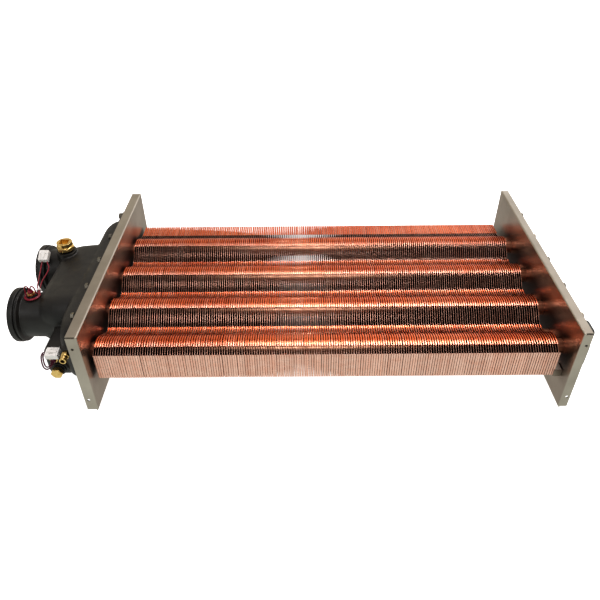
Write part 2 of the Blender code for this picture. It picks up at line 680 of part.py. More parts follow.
def make_drain(brass, rubber):
    ring = 0.0010
    seat = 2 * ring + 2 * GAP
    profile = [(0, 0.0110), (0.0070, 0.0110), (0.0076, 0.0104), (0.0076, seat)]
    screwed_piece("drain_plug", DRAIN_PLACE, FACE_FRONT, 0.0057, 0.016, profile, 0.0092,
                  seat + 0.0002, 0.0098, brass)
    o_ring("drain_plug_o_ring", DRAIN_PLACE, FACE_FRONT, 0.0074, ring, rubber)


def make_sensors(brass):
    body = [(0, SENSOR_HEIGHT), (0.0030, SENSOR_HEIGHT), (0.0036, 0.0084), (0.0036, 0.0050),
            (0.0050, 0.0046), (0.0050, GAP)]
    for name, place, rotation, reach in (("upper_water_sensor", SENSOR_PLACE, UPRIGHT, 0.028),
                                         ("lower_water_sensor", LOW_SENSOR_PLACE, FACE_FRONT,
                                          0.070)):
        screwed_piece(name, place, rotation, 0.0030, reach, body, 0.0062, 0.0006, 0.0046, brass)
    tap = [(0.0, 0.0160), (0.0046, 0.0160), (0.0051, 0.0154), (0.0051, 0.0090), (0.0044, 0.0085),
           (0.0044, 0.0060), (0.0054, 0.0056), (0.0054, GAP)]
    fitting = screwed_piece("pressure_tap_fitting", SWITCH_PLACE, FACE_FRONT, 0.0040, 0.018, tap,
                            0.0062, 0.0006, 0.0052, brass)
    cut_with(fitting, prism("pressure_tap_bore", SWITCH_PLACE + Vector((0, -0.018, 0)), FACE_BACK,
                            0.0030, 0.04, BOLT_STEPS))


# ---- sensor leads -----------------------------------------------------------------------------
def smooth_route(points, spacing):
    """Evenly spaced points on the smooth curve through a route's own points."""
    ends = [2 * points[0] - points[1]] + list(points) + [2 * points[-1] - points[-2]]
    fine = []
    steps = 16
    for before, start, end, after in zip(ends, ends[1:], ends[2:], ends[3:]):
        for i in range(steps):
            t = i / steps
            fine.append(0.5 * (2 * start + (end - before) * t
                               + (2 * before - 5 * start + 4 * end - after) * t ** 2
                               + (3 * start - before - 3 * end + after) * t ** 3))
    fine.append(points[-1].copy())
    lengths = [0.0]
    for first, second in zip(fine, fine[1:]):
        lengths.append(lengths[-1] + (second - first).length)
    count = round(lengths[-1] / spacing)
    even = []
    segment = 0
    for i in range(count + 1):
        target = lengths[-1] * i / count
        while segment < len(fine) - 2 and lengths[segment + 1] < target:
            segment += 1
        part = (target - lengths[segment]) / (lengths[segment + 1] - lengths[segment])
        even.append(fine[segment].lerp(fine[segment + 1], part))
    return even


def make_lead(name, route, material):
    curve = bpy.data.curves.new(name, "CURVE")
    curve.dimensions = "3D"
    curve.bevel_depth = LEAD_RADIUS
    curve.bevel_resolution = 2
    curve.use_fill_caps = True
    curve.resolution_u = 1
    points = smooth_route([Vector(point) for point in route], LEAD_POINT_SPACING)
    spline = curve.splines.new("POLY")
    spline.points.add(len(points) - 1)
    for point, place in zip(spline.points, points):
        point.co = (*place, 1)
    return put(bpy.data.objects.new(name, curve), material)


def ring_route(start_angle, end_angle):
    """Up out of the upper sensor, over, and round it in a flat spiral that grows outwards."""
    side = Vector((math.cos(start_angle), math.sin(start_angle), 0))
    top = SENSOR_PLACE + Vector((0, 0, SENSOR_HEIGHT + GAP))
    hump = ((0.0011, 0), (0.0013, 0.0030), (0.0026, 0.0058), (0.0047, 0.0068), (0.0067, 0.0054),
            (0.0078, 0.0020), (0.0081, -0.0025))
    points = [top + side * out + Vector((0, 0, up)) for out, up in hump]
    step = math.radians(20)
    count = round((end_angle - start_angle) / step)
    for i in range(count + 1):
        angle = start_angle + (end_angle - start_angle) * i / count
        out = RING_START + RING_GROWTH * (angle - start_angle) / (2 * math.pi)
        settle = (0.0062, 0.0016)[i] if i < 2 else 0.0
        points.append(Vector((SENSOR_PLACE.x + out * math.cos(angle),
                              SENSOR_PLACE.y + out * math.sin(angle), RING_Z + settle)))
    return points


UPPER_RUN_A = ((MID_X - 0.4530, -0.0580, 0.1122), (MID_X - 0.4566, -0.0430, 0.1115),
               (MID_X - 0.4592, -0.0300, 0.1100), (MID_X - 0.4603, -0.0180, 0.1088),
               (MID_X - 0.4606, -0.0060, 0.1082), (MID_X - 0.4612, 0.0050, 0.1084),
               (MID_X - 0.4635, 0.0140, 0.1093), (MID_X - 0.4668, 0.0195, 0.1106),
               (MID_X - 0.4683, 0.0234, 0.1124))
UPPER_RUN_B = ((MID_X - 0.4551, -0.0580, 0.1122), (MID_X - 0.4612, -0.0443, 0.1113),
               (MID_X - 0.4655, -0.0300, 0.1096), (MID_X - 0.4697, -0.0150, 0.1084),
               (MID_X - 0.4732, 0.0000, 0.1080), (MID_X - 0.4756, 0.0100, 0.1085),
               (MID_X - 0.4768, 0.0175, 0.1100), (MID_X - 0.4770, 0.0234, 0.1124))
LOWER_ROUTE_A = ((MID_X - 0.4051, -0.1783, 0.0700), (MID_X - 0.4055, -0.1812, 0.0694),
                 (MID_X - 0.4068, -0.1834, 0.0680), (MID_X - 0.4088, -0.1846, 0.0668),
                 (MID_X - 0.4112, -0.1846, 0.0664), (MID_X - 0.4134, -0.1834, 0.0680),
                 (MID_X - 0.4148, -0.1816, 0.0714), (MID_X - 0.4153, -0.1799, 0.0757),
                 (MID_X - 0.4154, -0.1779, 0.0801), (MID_X - 0.4144, -0.1762, 0.0834),
                 (MID_X - 0.4119, -0.1754, 0.0844))
LOWER_ROUTE_B = ((MID_X - 0.4029, -0.1783, 0.0700), (MID_X - 0.4034, -0.1820, 0.0691),
                 (MID_X - 0.4052, -0.1852, 0.0671), (MID_X - 0.4082, -0.1872, 0.0652),
                 (MID_X - 0.4118, -0.1872, 0.0646), (MID_X - 0.4150, -0.1858, 0.0662),
                 (MID_X - 0.4172, -0.1832, 0.0700), (MID_X - 0.4183, -0.1800, 0.0752),
                 (MID_X - 0.4184, -0.1766, 0.0802), (MID_X - 0.4164, -0.1732, 0.0837),
                 (MID_X - 0.4119, -0.1716, 0.0844))


def make_connector(name, centre, rotation, material):
    """A two-way plug housing: its wires enter at -Y of its own frame, its latch is on top."""
    half = Vector((0.0080, 0.0095, 0.0045))
    housing = box(name, -half, half, material, bevel=0.0008)
    latch = box(name + "_latch", (-0.0026, -0.0060, 0.0035), (0.0026, 0.0070, 0.0058))
    for piece in (housing, latch):
        piece.location = centre
        piece.rotation_euler = rotation
    join_with(housing, latch)
    for x in (-0.0039, 0.0039):
        slot = box(name + "_contact", (x - 0.0021, 0.0030, -0.0021), (x + 0.0021, 0.0110, 0.0021))
        slot.location = centre
        slot.rotation_euler = rotation
        cut_with(housing, slot)


def make_leads(red, purple, white):
    upper_a = ring_route(0, 2 * math.pi + LEAVE_ANGLE) + [Vector(p) for p in UPPER_RUN_A]
    upper_b = ring_route(math.pi, 2 * math.pi + LEAVE_ANGLE) + [Vector(p) for p in UPPER_RUN_B]
    make_lead("upper_sensor_lead_a", upper_a, red)
    make_lead("upper_sensor_lead_b", upper_b, red)
    make_lead("lower_sensor_lead_a", LOWER_ROUTE_A, purple)
    make_lead("lower_sensor_lead_b", LOWER_ROUTE_B, purple)
    lean = math.radians(28)
    out = PORT_FLANGE_RADIUS + GAP + 0.0045
    centre = Vector((MID_X - 0.475, FAR_PORT_Y - out * math.sin(lean), PORT_Z + out * math.cos(lean)))
    make_connector("upper_sensor_connector", centre, Euler((lean, 0, 0)), white)
    make_connector("lower_sensor_connector", Vector((MID_X - 0.4018, -0.1735, 0.0830)),
                   Euler((0, math.radians(8), math.radians(-90))), white)
    tie = flat_plate("lead_tie", [rounded_rectangle((-0.0036, -0.0024), (0.0036, 0.0024), 0.001, 2),
                                  rounded_rectangle((-0.0025, -0.0013), (0.0025, 0.0013), 0.0008, 2)],
                     -0.001, 0.001, white)
    tie.matrix_world = (Matrix.Translation((MID_X - 0.4541, -0.0580, 0.1122))
                        @ Matrix.Rotation(math.radians(90 + 16), 4, "Z") @ tie.matrix_world)


# ---- the return header --------------------------------------------------------------------------
RETURN_SHAPE = (
    (-0.0020, -0.1800, 0.1700, 0.0325, 0.1110, 0.018),
    (0.0060, -0.1790, 0.1690, 0.0330, 0.1105, 0.019),
    (0.0140, -0.1740, 0.1640, 0.0370, 0.1065, 0.021),
    (0.0200, -0.1640, 0.1540, 0.0450, 0.0985, 0.020),
    (0.0246, -0.1500, 0.1400, 0.0540, 0.0895, 0.016),
)


def make_return_header(material):
    face = MID_X + RETURN_FLANGE_OUT
    outside = [(face + out, *rest) for out, *rest in RETURN_SHAPE]
    body = loft("return_header", outside, material)
    flange = flat_plate("return_flange", [rounded_rectangle((FLANGE_FRONT_Y, RETURN_LOW_Z),
                                                            (FLANGE_BACK_Y, RETURN_HIGH_Z),
                                                            FLANGE_CORNER, CORNER_STEPS)],
                        MID_X + FLANGE_IN, face)
    lug = box("return_lug", (MID_X + FLANGE_IN + 0.004, -0.1860, 0.0950),
              (face + 0.0085, -0.1560, 0.1280), bevel=0.006)
    join_with(body, flange, lug)
    inside = []
    wall = 0.004
    for x, y_low, y_high, z_low, z_high, radius in outside[:-1]:
        inside.append((x, y_low + wall, y_high - wall, z_low + wall, z_high - wall, radius - wall))
    inside.insert(0, (MID_X + FLANGE_IN - 0.01, *inside[0][1:]))
    cut_with(body, loft("return_chamber", inside))
    for _, _, y, z in bolt_places(RETURN_BOLT_LOW_Z, RETURN_BOLT_HIGH_Z):
        cut_with(body, prism("bolt_hole", (MID_X + FLANGE_IN - 0.01, y, z), FACE_RIGHT,
                             BOLT_RADIUS + GAP, 0.03, BOLT_STEPS))
    return body


def return_opening():
    first = RETURN_SHAPE[0]
    wall = 0.004
    return rounded_rectangle((first[1] + wall, first[3] + wall), (first[2] - wall, first[4] - wall),
                             first[5] - wall, CORNER_STEPS)


def header_openings():
    _, y_low, y_high, z_low, z_high, radius = CHAMBER_SHAPE[0]
    low_z = z_low + HEADER_WALL
    high_z = z_high - HEADER_WALL
    half = PARTITION_THICK / 2
    corner = radius - HEADER_WALL
    inlet = rounded_rectangle((y_low + HEADER_WALL, low_z), (PARTITION_Y - half, high_z),
                              (corner, PARTITION_CORNER), CORNER_STEPS)
    outlet = rounded_rectangle((PARTITION_Y + half, low_z), (y_high - HEADER_WALL, high_z),
                               (PARTITION_CORNER, corner), CORNER_STEPS)
    return [inlet, outlet]


def make_fin_stop(material):
    """A small angle on the return side pan that keeps the fins from creeping along the tubes."""
    low_z = 0.0450
    high_z = 0.0570
    sheet = 0.0010
    back_x = RETURN_PAN_X - GAP
    front_y = PACK_FRONT_Y - GAP - sheet
    stop = box("fin_stop_clip", (back_x - sheet, front_y, low_z), (back_x, front_y + 0.016, high_z),
               material)
    tab = box("fin_stop_tab", (RETURN_PAN_X - PACK_RETURN_GAP - 0.0035, front_y, low_z),
              (back_x, front_y + sheet, high_z))
    join_with(stop, tab)


def build():
    start_scene()
    copper = make_material("copper_fins", (0.72, 0.34, 0.20), 0.35, 1.0)
    tube_copper = make_material("copper_tube", (0.60, 0.30, 0.18), 0.4, 1.0)
    stainless = make_material("stainless_sheet", (0.55, 0.52, 0.46), 0.35, 1.0)
    plate_steel = make_material("tube_plate_steel", (0.45, 0.44, 0.42), 0.45, 1.0)
    polymer = make_material("black_glass_filled_polymer", (0.03, 0.03, 0.03), 0.5, 0.0)
    rubber = make_material("black_rubber", (0.02, 0.02, 0.02), 0.7, 0.0)
    brass = make_material("brass", (0.72, 0.52, 0.18), 0.3, 1.0)
    red_lead = make_material("red_lead", (0.45, 0.03, 0.06), 0.5, 0.0)
    purple_lead = make_material("purple_lead", (0.16, 0.03, 0.08), 0.5, 0.0)
    white = make_material("white_nylon", (0.80, 0.78, 0.76), 0.5, 0.0)
    bolt_steel = make_material("zinc_plated_steel", (0.60, 0.60, 0.58), 0.4, 1.0)

    make_tubes(tube_copper)
    make_fin_pack(copper)
    make_pan("header_side_pan", HEADER_PAN_X, -1, HEADER_PAN_FLANGE, stainless)
    make_pan("return_side_pan", RETURN_PAN_X, 1, RETURN_PAN_FLANGE, stainless)
    header_bolts = bolt_places(BOLT_LOW_Z, BOLT_HIGH_Z)
    return_bolts = bolt_places(RETURN_BOLT_LOW_Z, RETURN_BOLT_HIGH_Z)
    make_tube_plate("header_tube_plate", -1, header_bolts, FLANGE_LOW_Z, FLANGE_HIGH_Z, plate_steel)
    make_tube_plate("return_tube_plate", 1, return_bolts, RETURN_LOW_Z, RETURN_HIGH_Z, plate_steel)
    make_gasket("header_gasket", -1, header_bolts, FLANGE_LOW_Z, FLANGE_HIGH_Z,
                header_openings(), rubber)
    make_gasket("return_gasket", 1, return_bolts, RETURN_LOW_Z, RETURN_HIGH_Z,
                [return_opening()], rubber)
    make_header(polymer)
    make_return_header(polymer)
    make_bolts("header_bolt", -1, header_bolts, FLANGE_OUT, bolt_steel)
    make_bolts("return_bolt", 1, return_bolts, RETURN_FLANGE_OUT, bolt_steel)
    make_port_rings(rubber)
    make_bypass(brass, polymer, bolt_steel)
    make_plug(brass, rubber)
    make_drain(brass, rubber)
    make_sensors(brass)
    make_fin_stop(stainless)
    make_leads(red_lead, purple_lead, white)


build()
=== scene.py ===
"""Looks of a gas pool heater's heat exchanger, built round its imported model.

Copper plate fins on eight tubes, two folded stainless pans, a moulded two-port header at one end
and a return header at the other, brass fittings and the sensors' leads. Metres, +Z up.
"""

import math
import random

import bmesh
import bpy
import numpy as np
from mathutils import Euler, Matrix, Vector


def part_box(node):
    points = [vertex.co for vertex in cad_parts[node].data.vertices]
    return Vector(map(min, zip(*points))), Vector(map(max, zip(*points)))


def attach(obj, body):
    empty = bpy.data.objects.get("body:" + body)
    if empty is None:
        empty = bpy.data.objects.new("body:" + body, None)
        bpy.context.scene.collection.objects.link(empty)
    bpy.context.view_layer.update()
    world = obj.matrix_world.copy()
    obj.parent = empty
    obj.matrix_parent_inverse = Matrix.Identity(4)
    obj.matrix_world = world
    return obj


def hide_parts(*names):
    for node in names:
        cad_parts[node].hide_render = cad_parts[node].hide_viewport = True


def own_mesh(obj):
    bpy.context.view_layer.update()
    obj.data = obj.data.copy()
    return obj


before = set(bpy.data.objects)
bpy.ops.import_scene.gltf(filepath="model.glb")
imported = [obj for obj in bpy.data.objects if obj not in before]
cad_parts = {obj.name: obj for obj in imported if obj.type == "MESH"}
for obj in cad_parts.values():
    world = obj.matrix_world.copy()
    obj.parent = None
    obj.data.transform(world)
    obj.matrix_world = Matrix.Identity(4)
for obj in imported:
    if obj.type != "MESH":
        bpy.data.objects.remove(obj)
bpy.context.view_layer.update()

BODY = "heat_exchanger"
GAP = 0.0003                 # clearance between pieces that touch


def low(node):
    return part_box(node)[0]


def high(node):
    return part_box(node)[1]


def middle(node):
    return (low(node) + high(node)) / 2


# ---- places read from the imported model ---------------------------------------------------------
HEADER_PAN_X = high("header_side_pan").x
RETURN_PAN_X = low("return_side_pan").x
MID_X = (HEADER_PAN_X + RETURN_PAN_X) / 2
SPAN = RETURN_PAN_X - HEADER_PAN_X
PAN_HEIGHT = high("header_side_pan").z
PAN_HALF_DEPTH = high("header_side_pan").y
UPPER_TUBES = [middle(f"upper_tube_{number}") for number in range(1, 5)]
LOWER_TUBES = [middle(f"lower_tube_{number}") for number in range(1, 5)]
TUBE_PITCH = UPPER_TUBES[1].y - UPPER_TUBES[0].y
TUBE_RADIUS = (high("upper_tube_1").z - low("upper_tube_1").z) / 2
PACK_LOW, PACK_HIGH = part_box("fin_pack")
PORT_FACE_X = low("header_body").x
MATING_X = high("header_body").x
FLANGE_THICK = 0.012
FLANGE_X = MATING_X - FLANGE_THICK        # outer face of the two-port header's flange
RETURN_MATING_X = low("return_header").x
RETURN_FLANGE_X = RETURN_MATING_X + 0.010
PORTS = [middle("near_port_o_ring"), middle("far_port_o_ring")]

# ---- sizes of the shapes -----------------------------------------------------------------------
TUBE_WALL = 0.0013
FIN_PITCH = 0.00357
FIN_SHEET = 0.0004
CREST_TAB = 0.0023           # how far the bent tabs reach towards the next fin
FRONT_TAB = 0.0031
CREST_RADIUS = 0.034
VALLEY_Z = 0.0770
FRONT_FACE_TOP_Z = 0.0921
REAR_SHOULDER_Z = 0.0830
BOTTOM_VALLEY_Z = 0.0530
CREST_TAB_FRONT = 111        # where a crest's tab starts and ends, in degrees round its circle
CREST_TAB_BACK = 46
VALLEY_TAB_FRONT = 228       # and a valley's
VALLEY_TAB_BACK = 290

PAN_SHEET = 0.0015
PAN_FOLD_RADIUS = 0.0025
PAN_CORNER_RELIEF = 0.0022
PAN_HOLE_RADIUS = 0.0022
PAN_HOLE_PLACE = 0.62        # how far a hole stands along its flange, from the fold
PAN_HOLE_HEIGHTS = (0.022, 0.122)

HEADER_WALL = 0.005
PARTITION_Y = -0.0084
PARTITION_THICK = 0.006
PORT_REACH = 0.1236          # from the flange to a port's end face
PORT_ROOT = 0.0400           # and to where its neck starts
PORT_NECK_RADIUS = 0.0355
PORT_FLANGE_RADIUS = 0.0435
PORT_BORE_RADIUS = 0.0255
PORT_RING_RADIUS = 0.0335
PORT_RING_WIRE = 0.00175
FLANGE_CORNER = 0.034

LEAD_RADIUS = 0.00105
RING_START = 0.0084          # radius at which a lead starts round the upper sensor
RING_GROWTH = 0.0039         # and what it gains in a whole turn
RING_Z = 0.1122
LEAVE_ANGLE = math.radians(12)

FACE_LEFT = Euler((0, -math.pi / 2, 0))           # a turned shape's axis to -X
FACE_RIGHT = Euler((0, math.pi / 2, 0))
FACE_FRONT = Euler((math.pi / 2, 0, 0))           # a turned shape's axis to -Y
FACE_BACK = Euler((-math.pi / 2, 0, 0))
UPRIGHT = Euler((0, 0, 0))
ALONG_X = Euler((math.pi / 2, 0, math.pi / 2))    # a flat outline's x, y and z to Y, Z and X


# ---- materials ---------------------------------------------------------------------------------
class Nodes:
    """Short ways to build a material's or a world's nodes."""

    def __init__(self, owner):
        owner.use_nodes = True
        self.tree = owner.node_tree

    def fill(self, socket, value):
        """Links an output to the socket or sets a constant on it."""
        if isinstance(value, bpy.types.NodeSocket):
            self.tree.links.new(value, socket)
        elif socket.type == "RGBA":
            socket.default_value = (*value, 1)
        else:
            socket.default_value = value

    def add(self, kind, inputs, **settings):
        """A new node; an input is called by its name, or by its place where names repeat."""
        node = self.tree.nodes.new("ShaderNode" + kind)
        for setting, value in settings.items():
            setattr(node, setting, value)
        for key, value in inputs.items():
            matching = [i for n, i in enumerate(node.inputs) if key in (n, i.name) and i.enabled]
            self.fill(matching[0], value)
        return node

    def coordinate(self, name):
        return self.add("TexCoord", {}).outputs[name]

    def axes(self, vector):
        return self.add("SeparateXYZ", {"Vector": vector}).outputs

    def spread(self, output, to_low, to_high, from_low=0.3, from_high=0.7, curve="LINEAR"):
        limits = {"From Min": from_low, "From Max": from_high, "To Min": to_low, "To Max": to_high}
        return self.add("MapRange", {"Value": output, **limits}, interpolation_type=curve).outputs["Result"]

    def level(self, amount, first, second):
        """A number between two others."""
        return self.add("Mix", {"Factor": amount, "A": first, "B": second}).outputs["Result"]

    def mix(self, amount, first, second, blend="MIX"):
        """A colour between two others."""
        node = self.add("Mix", {"Factor": amount, "A": first, "B": second}, data_type="RGBA",
                        blend_type=blend)
        return next(o for o in node.outputs if o.enabled)


class Finish(Nodes):
    """A Principled material, with the nodes that the finishes share."""

    def __init__(self, name, metallic, specular=0.5):
        self.material = bpy.data.materials.new(name)
        super().__init__(self.material)
        self.shader = self.tree.nodes["Principled BSDF"]
        self.feed("Metallic", metallic)
        self.feed("Specular IOR Level", specular)
        self.place = self.coordinate("Object")

    def feed(self, name, value):
        self.fill(self.shader.inputs[name], value)

    def noise(self, scale, detail=4.0, roughness=0.55, stretch=(1, 1, 1)):
        mapping = self.add("Mapping", {"Vector": self.place, "Scale": stretch})
        return self.add("TexNoise", {"Vector": mapping.outputs["Vector"], "Scale": scale, "Detail": detail,
                                     "Roughness": roughness}).outputs["Fac"]

    def mottle(self, noise, first, second):
        """Two colours mixed by a noise."""
        return self.mix(self.spread(self.noise(*noise), 0, 1), first, second)

    def attribute(self, name):
        return self.add("Attribute", {}, attribute_name=name).outputs["Fac"]

    def inside(self, bands, soft):
        """1 within all the bands, given as (axis, from, to), and 0 outside them."""
        axes = self.axes(self.place)
        mask = None
        for axis, start, end in bands:
            for edge, sign in ((start, 1), (end, -1)):
                step = self.spread(axes[axis], 0, 1, edge - sign * soft, edge + sign * soft)
                if mask is not None:
                    step = self.add("Math", {0: mask, 1: step}, operation="MULTIPLY").outputs["Value"]
                mask = step
        return mask

    def bump(self, layers):
        """layers are (noise, strength, distance), laid on each other."""
        below = {}
        for noise, strength, distance in layers:
            node = self.add("Bump", {"Height": self.noise(*noise), "Strength": strength,
                                     "Distance": distance, **below})
            below = {"Normal": node.outputs["Normal"]}
        self.feed("Normal", below["Normal"])


def copper_fins():
    """Pale and dull at the front tabs, orange with heat on the crests, paler on the rims and the crests'
    front edges as a painted highlight, and near black inside as painted shade between the fins.
    """
    finish = Finish("copper_fins", 1.0, 0.1)
    stain = finish.mottle((9, 3, 0.55, (1, 3, 3)), (0.88, 0.20, 0.075), (0.66, 0.12, 0.045))
    pale_copper = finish.mottle((60, 3, 0.55, (1, 1, 2)), (0.97, 0.64, 0.52), (0.90, 0.53, 0.41))
    # Near black on the fins' faces, which face each other: painted shade between the fins.
    painted_gap_shade = finish.mottle((25, 3), (0.005, 0.0045, 0.004), (0.013, 0.008, 0.007))
    # Where this is low the copper is pale; on the rims and at the crests' front edges that paleness is a
    # painted highlight.
    tarnish_and_highlight_level = finish.attribute("tarnish_and_highlight")
    along = finish.axes(finish.coordinate("Normal"))["X"]
    facing = finish.add("Math", {0: along}, operation="ABSOLUTE").outputs["Value"]
    sides = finish.spread(facing, 0, 1, 0.6, 0.9)
    shade = finish.spread(finish.attribute("fin_shade"), 0.84, 1.0, 0, 1)
    colour = finish.mix(sides, finish.mix(tarnish_and_highlight_level, pale_copper, stain), painted_gap_shade)
    finish.feed("Base Color", finish.mix(1.0, colour, shade, "MULTIPLY"))
    bare = finish.spread(tarnish_and_highlight_level, 0.40, 1.0, 0.0, 0.25)
    finish.feed("Metallic", finish.level(sides, bare, 0.05))
    polish = finish.spread(finish.noise(140, 3, stretch=(1, 2, 2)), 0.24, 0.40)
    finish.feed("Roughness", finish.level(sides, polish, 0.9))
    finish.bump([((500, 3, 0.55, (3, 1, 1)), 0.12, 0.0003)])
    return finish.material


def stainless_sheet():
    """Mill finish, rolled and faintly smeared, and dark brown over the middle of each face, beside the
    fins.
    """
    finish = Finish("stainless_sheet", 1.0)
    mill = finish.mottle((14, 4), (0.47, 0.43, 0.37), (0.36, 0.325, 0.275))
    # Dark brown over the middle of the faces, beside the fins, fading out at soft edges.
    dark_brown_patch = finish.inside((("Y", -PAN_HALF_DEPTH + 0.015, PAN_HALF_DEPTH - 0.075),
                             ("Z", 0.047, PAN_HEIGHT - 0.032)), 0.014)
    finish.feed("Base Color", finish.mix(dark_brown_patch, mill, (0.125, 0.072, 0.062)))
    finish.feed("Roughness", finish.spread(finish.noise(22, 5, 0.65), 0.28, 0.42))
    finish.bump([((7, 1), 0.25, 0.002), ((700, 2, 0.55, (1, 0.04, 1)), 0.06, 0.0002)])
    return finish.material


def mottled(name, metallic, specular, colour, polish, bumps):
    """A finish whose colour and roughness vary by noises; each noise is what Finish.noise takes."""
    finish = Finish(name, metallic, specular)
    finish.feed("Base Color", finish.mottle(*colour))
    noise, smoothest, roughest = polish
    finish.feed("Roughness", finish.spread(finish.noise(*noise), smoothest, roughest))
    finish.bump(bumps)
    return finish.material


# metallic, specular level, (noise, colour, colour), (noise, roughness, roughness), bump layers
MOTTLED = {
    "copper_tube": (1.0, 0.5, ((45,), (0.74, 0.37, 0.24), (0.52, 0.23, 0.14)),
                    ((90,), 0.28, 0.48), [((60, 3, 0.55, (1, 12, 12)), 0.10, 0.0004)]),
    "tube_plate_steel": (1.0, 0.5, ((35,), (0.36, 0.35, 0.33), (0.24, 0.23, 0.22)),
                         ((120,), 0.40, 0.62), [((260, 4), 0.20, 0.0004)]),
    "black_polymer": (0.0, 0.5, ((28, 5, 0.6), (0.016, 0.014, 0.011), (0.006, 0.006, 0.006)),
                      ((50, 5, 0.6), 0.36, 0.56), [((38, 3), 0.25, 0.0012), ((700, 3), 0.15, 0.0002)]),
    "black_rubber": (0.0, 0.4, ((80,), (0.012, 0.012, 0.013), (0.022, 0.021, 0.021)),
                     ((150,), 0.50, 0.70), [((900,), 0.10, 0.0002)]),
    "brass": (1.0, 0.5, ((160, 4), (0.86, 0.64, 0.27), (0.66, 0.44, 0.15)),
              ((240,), 0.18, 0.38), [((900, 2, 0.55, (0.2, 0.2, 3)), 0.15, 0.0002)]),
    "zinc_steel": (1.0, 0.5, ((240,), (0.24, 0.22, 0.18), (0.14, 0.13, 0.11)),
                   ((320,), 0.25, 0.45), [((1200,), 0.12, 0.0002)]),
    "red_lead": (0.0, 0.5, ((180,), (0.25, 0.008, 0.028), (0.14, 0.004, 0.015)),
                 ((300,), 0.28, 0.45), [((700,), 0.08, 0.0002)]),
    "purple_lead": (0.0, 0.5, ((180,), (0.10, 0.008, 0.028), (0.05, 0.005, 0.016)),
                    ((300,), 0.28, 0.45), [((700,), 0.08, 0.0002)]),
    "white_nylon": (0.0, 0.5, ((120,), (0.84, 0.82, 0.80), (0.74, 0.72, 0.69)),
                    ((260,), 0.34, 0.50), [((900,), 0.10, 0.0002)]),
}
FINISHES = {name: mottled(name, *values) for name, values in MOTTLED.items()}
FINISHES["copper_fins"] = copper_fins()
FINISHES["stainless_sheet"] = stainless_sheet()


# ---- mesh helpers ------------------------------------------------------------------------------
def put(name, data):
    obj = bpy.data.objects.new(name, data)
    bpy.context.scene.collection.objects.link(obj)
    return obj


def show(name, shape, slot, node=None, body=BODY):
    """Puts a mesh or curve in the scene as a finished piece that stands for a CAD node."""
    shape.materials.clear()
    shape.materials.append(FINISHES[slot])
    obj = put(name, shape)
    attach(obj, body)
    if node is not None:
        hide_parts(node)
    return obj


def smooth(mesh, angle=35):
    mesh.shade_smooth()
    mesh.set_sharp_from_angle(angle=math.radians(angle))
    return mesh


def crisp(mesh, angle=30):
    """Smooth round the bevels and quite flat between them."""
    obj = put("helper", smooth(mesh, angle))
    normals = obj.modifiers.new("normals", "WEIGHTED_NORMAL")
    normals.keep_sharp = True
    return evaluated_mesh(obj)


def mesh_from(bm):
    bmesh.ops.recalc_face_normals(bm, faces=bm.faces)
    mesh = bpy.data.meshes.new("shape")
    bm.to_mesh(mesh)
    bm.free()
    return mesh


def placed(mesh, place, rotation=UPRIGHT):
    mesh.transform(Matrix.Translation(place) @ rotation.to_matrix().to_4x4())
    return mesh


def fillet(points, radius, steps=4, closed=False):
    """An outline with its corners rounded; an open one keeps its two ends."""
    rounded = []
    for i, point in enumerate(points):
        if not closed and i in (0, len(points) - 1):
            rounded.append(tuple(point))
            continue
        corner = Vector(point)
        back = Vector(points[i - 1]) - corner
        ahead = Vector(points[(i + 1) % len(points)]) - corner
        start = corner + back.normalized() * min(radius, back.length * 0.45)
        end = corner + ahead.normalized() * min(radius, ahead.length * 0.45)
        for k in range(steps + 1):
            t = k / steps
            rounded.append(tuple(start * (1 - t) ** 2 + corner * 2 * t * (1 - t) + end * t ** 2))
    return rounded


def around(radius, angle):
    return radius * math.cos(angle), radius * math.sin(angle)


def turned(profile, place=(0, 0, 0), rotation=UPRIGHT, steps=64, closed=False):
    """A profile of (radius, height) turned about an axis; where it meets the axis it closes."""
    bm = bmesh.new()
    rings = []
    for radius, height in profile:
        if radius < 1e-6:
            rings.append([bm.verts.new((0, 0, height))])
            continue
        rings.append([bm.verts.new((x, y, height)) for x, y in polygon(radius, steps)])
    pairs = list(zip(rings, rings[1:]))
    if closed:
        pairs.append((rings[-1], rings[0]))
    for first, second in pairs:
        for k in range(steps):
            j = (k + 1) % steps
            corners = [first[k % len(first)], first[j % len(first)],
                       second[j % len(second)], second[k % len(second)]]
            distinct = list(dict.fromkeys(corners))
            if len(distinct) > 2:
                bm.faces.new(distinct)
    return placed(mesh_from(bm), place, rotation)


def band(bm, ring, following):
    """Faces between two rings of as many vertices."""
    for i in range(len(ring)):
        j = (i + 1) % len(ring)
        bm.faces.new((ring[i], ring[j], following[j], following[i]))


def prism(outline, low_z, high_z, place=(0, 0, 0), rotation=UPRIGHT):
    """An outline in X and Y, drawn out along Z."""
    bm = bmesh.new()
    bottom, top = [[bm.verts.new((x, y, z)) for x, y in outline] for z in (low_z, high_z)]
    bm.faces.new(list(reversed(bottom)))
    bm.faces.new(top)
    band(bm, bottom, top)
    return placed(mesh_from(bm), place, rotation)


def round_edges(bm, edges, offset, segments):
    bmesh.ops.bevel(bm, geom=edges, offset=offset, segments=segments, profile=0.5, affect="EDGES")


def block(corner, opposite, bevel=0.0):
    """A box between two corners, with its edges rounded."""
    bm = bmesh.new()
    bmesh.ops.create_cube(bm, size=1)
    size = [b - a for a, b in zip(corner, opposite)]
    centre = [(a + b) / 2 for a, b in zip(corner, opposite)]
    bmesh.ops.scale(bm, vec=size, verts=bm.verts)
    if bevel:
        round_edges(bm, list(bm.edges), bevel, 3)
    bmesh.ops.translate(bm, vec=centre, verts=bm.verts)
    return mesh_from(bm)


def polygon(radius, sides):
    return [around(radius, 2 * math.pi * k / sides) for k in range(sides)]


